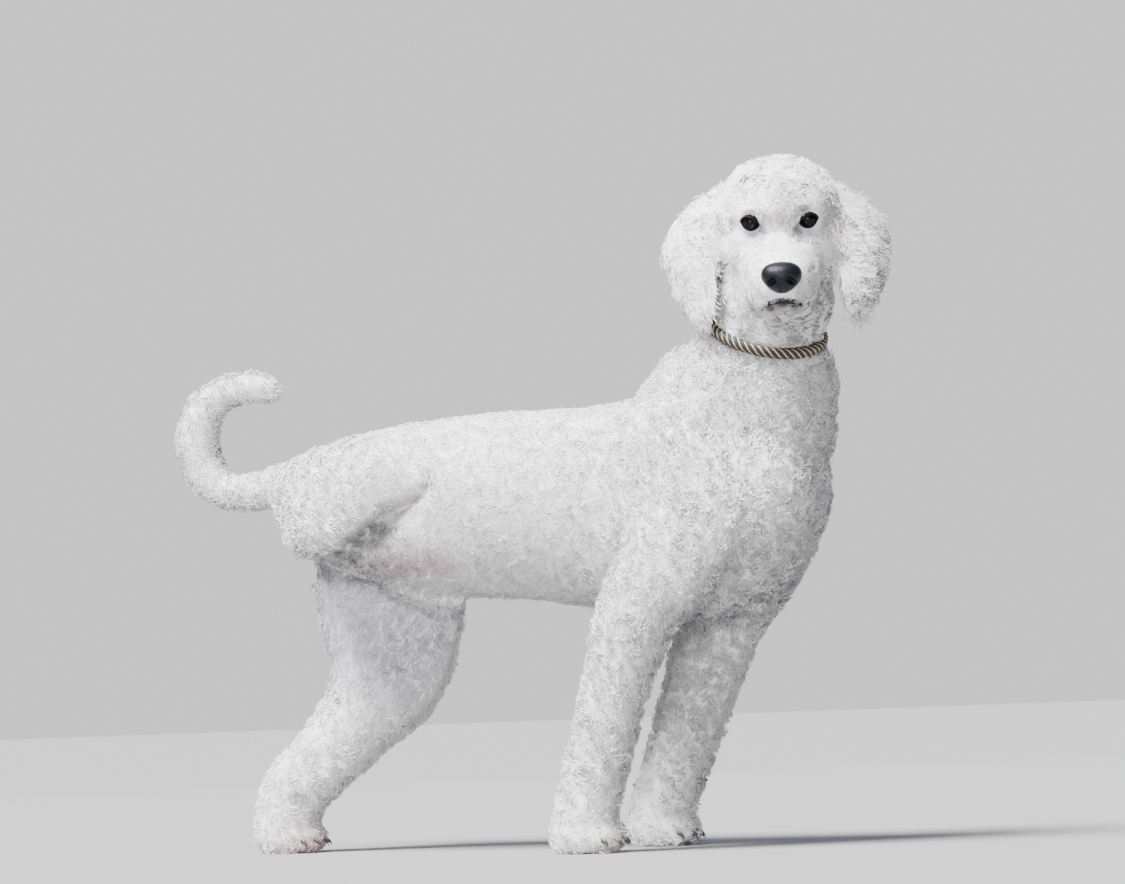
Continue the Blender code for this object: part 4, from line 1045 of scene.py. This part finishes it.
# Nose: a moist black pad of pebbled, hairless skin at the end of the muzzle.
# It is wider at the top than below, with two comma-shaped nostrils and a groove down its middle.
NOSTRIL = (0.0108, -0.0010)
NOSTRIL_HALF = (0.0042, 0.0050)
NOSTRIL_HOOK = 0.0022
NOSTRIL_DEPTH = 0.0090
GROOVE_DEPTH = 0.0022
work = bmesh.new()
bmesh.ops.create_uvsphere(work, u_segments=64, v_segments=44, radius=1.0)
for vert in work.verts:
    x, y, z = vert.co
    wide = 1.0 - 0.30 * max(-z, 0.0) ** 1.2 + 0.16 * max(z, 0.0)
    z *= 1.0 - 0.10 * max(z, 0.0) ** 3
    front = 1.0 - 0.10 * max(-z, 0.0)
    vert.co = Vector((x * NOSE_SIZE[0] * front, y * NOSE_SIZE[1] * wide, z * NOSE_SIZE[2]))
    if x > 0:
        groove = math.exp(-((y / 0.05) ** 2)) * min(max(0.45 - z, 0.0), 1.0)
        vert.co.x -= GROOVE_DEPTH * groove
        for side in (-1, 1):
            hook = NOSTRIL_HOOK * min(max((NOSTRIL[1] - vert.co.z) * 300, -1), 1)
            dy = (vert.co.y - side * (NOSTRIL[0] + hook)) / NOSTRIL_HALF[0]
            dz = (vert.co.z - NOSTRIL[1]) / NOSTRIL_HALF[1]
            vert.co.x -= NOSTRIL_DEPTH * math.exp(-((dy * dy + dz * dz) ** 1.5))
work.transform(head_place @ Matrix.Translation(NOSE))
nose = keep_in_scene("nose_pad", work)
nose_look, nodes, links, shader = new_material("Nose_leather", 0.42, 0.24)
where = nodes.new("ShaderNodeTexCoord")
pebbles = nodes.new("ShaderNodeTexVoronoi")
pebbles.inputs["Scale"].default_value = 900.0
links.new(where.outputs["Object"], pebbles.inputs["Vector"])
leather = two_tones(nose_look, pebbles.outputs["Distance"], (0.002, 0.002, 0.004), (0.006, 0.006, 0.012))
links.new(leather, shader.inputs["Base Color"])
add_bumps(nose_look, pebbles.outputs["Distance"], 0.35, 0.0006)
nose.data.materials.append(nose_look)
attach(nose, "root")
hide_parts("nose")

# Mouth: closed black lips round the front of the muzzle, under the wool of the upper lip.
# They are one band laid on the skin, a little open in the middle and drooping to both corners.
MOUTH_HALF = math.radians(50)
MOUTH_OPEN = 0.0028
MOUTH_PART = math.radians(42)
LIP_HALF = 0.0012
LIP_OUT = 0.0022
covered = BVHTree.FromPolygons([tuple(v) for v in skin_spots], [tuple(f) for f in corners])
turn_to_world = head_place.to_3x3()
work = bmesh.new()
rows_across = []
for i in range(49):
    angle = MOUTH_HALF * (i / 24 - 1)
    sway = 1 - (angle / MOUTH_HALF) ** 2
    tall = LIP_HALF + MOUTH_OPEN * max(1 - (angle / MOUTH_PART) ** 2, 0.0)
    way = turn_to_world @ Vector((math.cos(angle), math.sin(angle), 0))
    line = []
    for k in range(7):
        lift = tall * (1 - k / 3) - MOUTH_DROOP * math.sin(angle) ** 2
        start = head_place @ (Vector(MOUTH_MIDDLE) + Vector((0, 0, lift)))
        hit = covered.ray_cast(start, way)[0]
        line.append(work.verts.new(hit + way * LIP_OUT * (1 - abs(k / 3 - 1) ** 2) * min(1, 4 * sway)))
    rows_across.append(line)
for here, there in zip(rows_across, rows_across[1:]):
    for k in range(6):
        work.faces.new((here[k], there[k], there[k + 1], here[k + 1]))
mouth = keep_in_scene("lips", work)
lip_look = new_material("Lip_black", 0.55, 0.25, (0.014, 0.011, 0.012))[0]
mouth.data.materials.append(lip_look)
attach(mouth, "root")

# Collar: a rope of eight strands, thick black and thin gold in turn, twisted round each other.
# It lies on the wool as a closed ring at the top of the neck, tilted down to the front.
COLLAR_SQUASH = 1.03
STRAND_RADII = (0.0028, 0.0018)
STRAND_OFFSET = 0.0043
STRANDS = 8
TWISTS = 13
collar_place = Matrix.Translation(COLLAR_PLACE) @ COLLAR_FACING.to_track_quat("Z", "Y").to_matrix().to_4x4()
looks = []
CORDS = (("Cord_black", (0.012, 0.011, 0.012), 0.55), ("Cord_gold", (0.60, 0.46, 0.22), 0.45))
for name, tint, rough in CORDS:
    cord_look, nodes, links, shader = new_material(name, rough)
    where = nodes.new("ShaderNodeTexCoord")
    threads = nodes.new("ShaderNodeTexNoise")
    threads.inputs["Scale"].default_value = 900.0
    links.new(where.outputs["Object"], threads.inputs["Vector"])
    fibres = threads.outputs["Fac"]
    dyed = two_tones(cord_look, fibres, [0.55 * c for c in tint], [1.25 * c for c in tint])
    links.new(dyed, shader.inputs["Base Color"])
    add_bumps(cord_look, fibres, 0.5, 0.0005)
    looks.append(cord_look)
for number in range(STRANDS):
    work = bmesh.new()
    around = 520
    path = []
    for i in range(around):
        turn = math.tau * i / around
        twist = -math.tau * (TWISTS * i / around + number / STRANDS)
        reach = COLLAR_RING + STRAND_OFFSET * math.cos(twist)
        wide = COLLAR_SQUASH * reach * math.sin(turn)
        path.append(Vector((reach * math.cos(turn), wide, STRAND_OFFSET * math.sin(twist))))
    stations = []
    for i, middle in enumerate(path):
        along = (path[(i + 1) % around] - path[i - 1]).normalized()
        side_way = along.cross(Vector((0, 0, 1))).normalized()
        stations.append((middle, side_way, side_way.cross(along), STRAND_RADII[number % 2]))
    add_hoop(work, stations)
    work.transform(collar_place)
    strand = keep_in_scene(f"collar_strand_{number + 1}", work)
    strand.data.materials.append(looks[number % 2])
    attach(strand, "root")
    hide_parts("collar")

# Floor, light and camera: a plain pale floor before a white background, under soft studio light.
# The main light comes from above, a fill from each side, and a small one before the head shines in the
# eyes. The camera looks up slightly from low down, 28 degrees off the broadside view.
floor_look = new_material("Floor_pale", 0.9, tint=(0.29, 0.29, 0.285))[0]
work = bmesh.new()
bmesh.ops.create_grid(work, x_segments=1, y_segments=1, size=30.0)
floor = keep_in_scene("floor", work, smooth=False)
floor.data.materials.append(floor_look)


def soft_light(name, spot, aim, size, watts, tint=(1, 1, 1)):
    lamp = bpy.data.lights.new(name, "AREA")
    lamp.size = size
    lamp.energy = watts
    lamp.color = tint
    made = bpy.data.objects.new(name, lamp)
    made.location = spot
    made.rotation_euler = (Vector(aim) - Vector(spot)).to_track_quat("-Z", "Y").to_euler()
    bpy.context.scene.collection.objects.link(made)


soft_light("fill", (-2.6, -1.6, 1.5), (0.0, 0.0, 0.4), 2.5, 12, (0.93, 0.96, 1.0))
soft_light("far_fill", (-1.2, 3.2, 2.0), (0.0, 0.0, 0.4), 2.5, 40, (0.95, 0.97, 1.0))
soft_light("eye_light", (1.3, -2.9, 1.0), (0.40, -0.06, 0.74), 0.70, 50)
sun = bpy.data.lights.new("sun", "SUN")
sun.energy = 15.8
sun.color = (0.975, 0.965, 1.0)
sun.angle = math.radians(24)
overhead = bpy.data.objects.new("sun", sun)
overhead.rotation_euler = Vector((-0.22, -0.40, 0.88)).to_track_quat("Z", "Y").to_euler()
bpy.context.scene.collection.objects.link(overhead)
world = bpy.data.worlds.new("studio")
bpy.context.scene.world = world
world.use_nodes = True
nodes, links = world.node_tree.nodes, world.node_tree.links
around_dog = nodes["Background"]
around_dog.inputs["Color"].default_value = (0.78, 0.79, 1.0, 1.0)
around_dog.inputs["Strength"].default_value = 0.25
behind_dog = nodes.new("ShaderNodeBackground")
behind_dog.inputs["Color"].default_value = (1.0, 1.0, 1.0, 1.0)
seen = nodes.new("ShaderNodeLightPath")
both = nodes.new("ShaderNodeMixShader")
links.new(seen.outputs["Is Camera Ray"], both.inputs[0])
links.new(around_dog.outputs[0], both.inputs[1])
links.new(behind_dog.outputs[0], both.inputs[2])
links.new(both.outputs[0], nodes["World Output"].inputs["Surface"])

AZIMUTH = math.radians(28.0)
DISTANCE = 4.2
CAMERA_HEIGHT = 0.18
YAW = math.radians(0.98552771)
PITCH = math.radians(4.45337631)
ROLL = math.radians(-2.2)
toward = Vector((math.sin(AZIMUTH), -math.cos(AZIMUTH), 0.0))
right = Vector((math.cos(AZIMUTH), math.sin(AZIMUTH), 0.0))
upright = Vector((0.0, 0.0, 1.0))
view = -toward * math.cos(YAW) + right * math.sin(YAW)
right = right * math.cos(YAW) + toward * math.sin(YAW)
look = view * math.cos(PITCH) + upright * math.sin(PITCH)
above = upright * math.cos(PITCH) - view * math.sin(PITCH)
camera_right = right * math.cos(ROLL) + above * math.sin(ROLL)
camera_up = above * math.cos(ROLL) - right * math.sin(ROLL)
lens = bpy.data.cameras.new("camera")
lens.lens = 107.52
lens.sensor_width = 36.0
camera = bpy.data.objects.new("camera", lens)
turned = Matrix((camera_right, camera_up, -look)).transposed().to_4x4()
camera.matrix_world = Matrix.Translation(toward * DISTANCE + upright * CAMERA_HEIGHT + STAND) @ turned
bpy.context.scene.collection.objects.link(camera)
bpy.context.scene.camera = camera
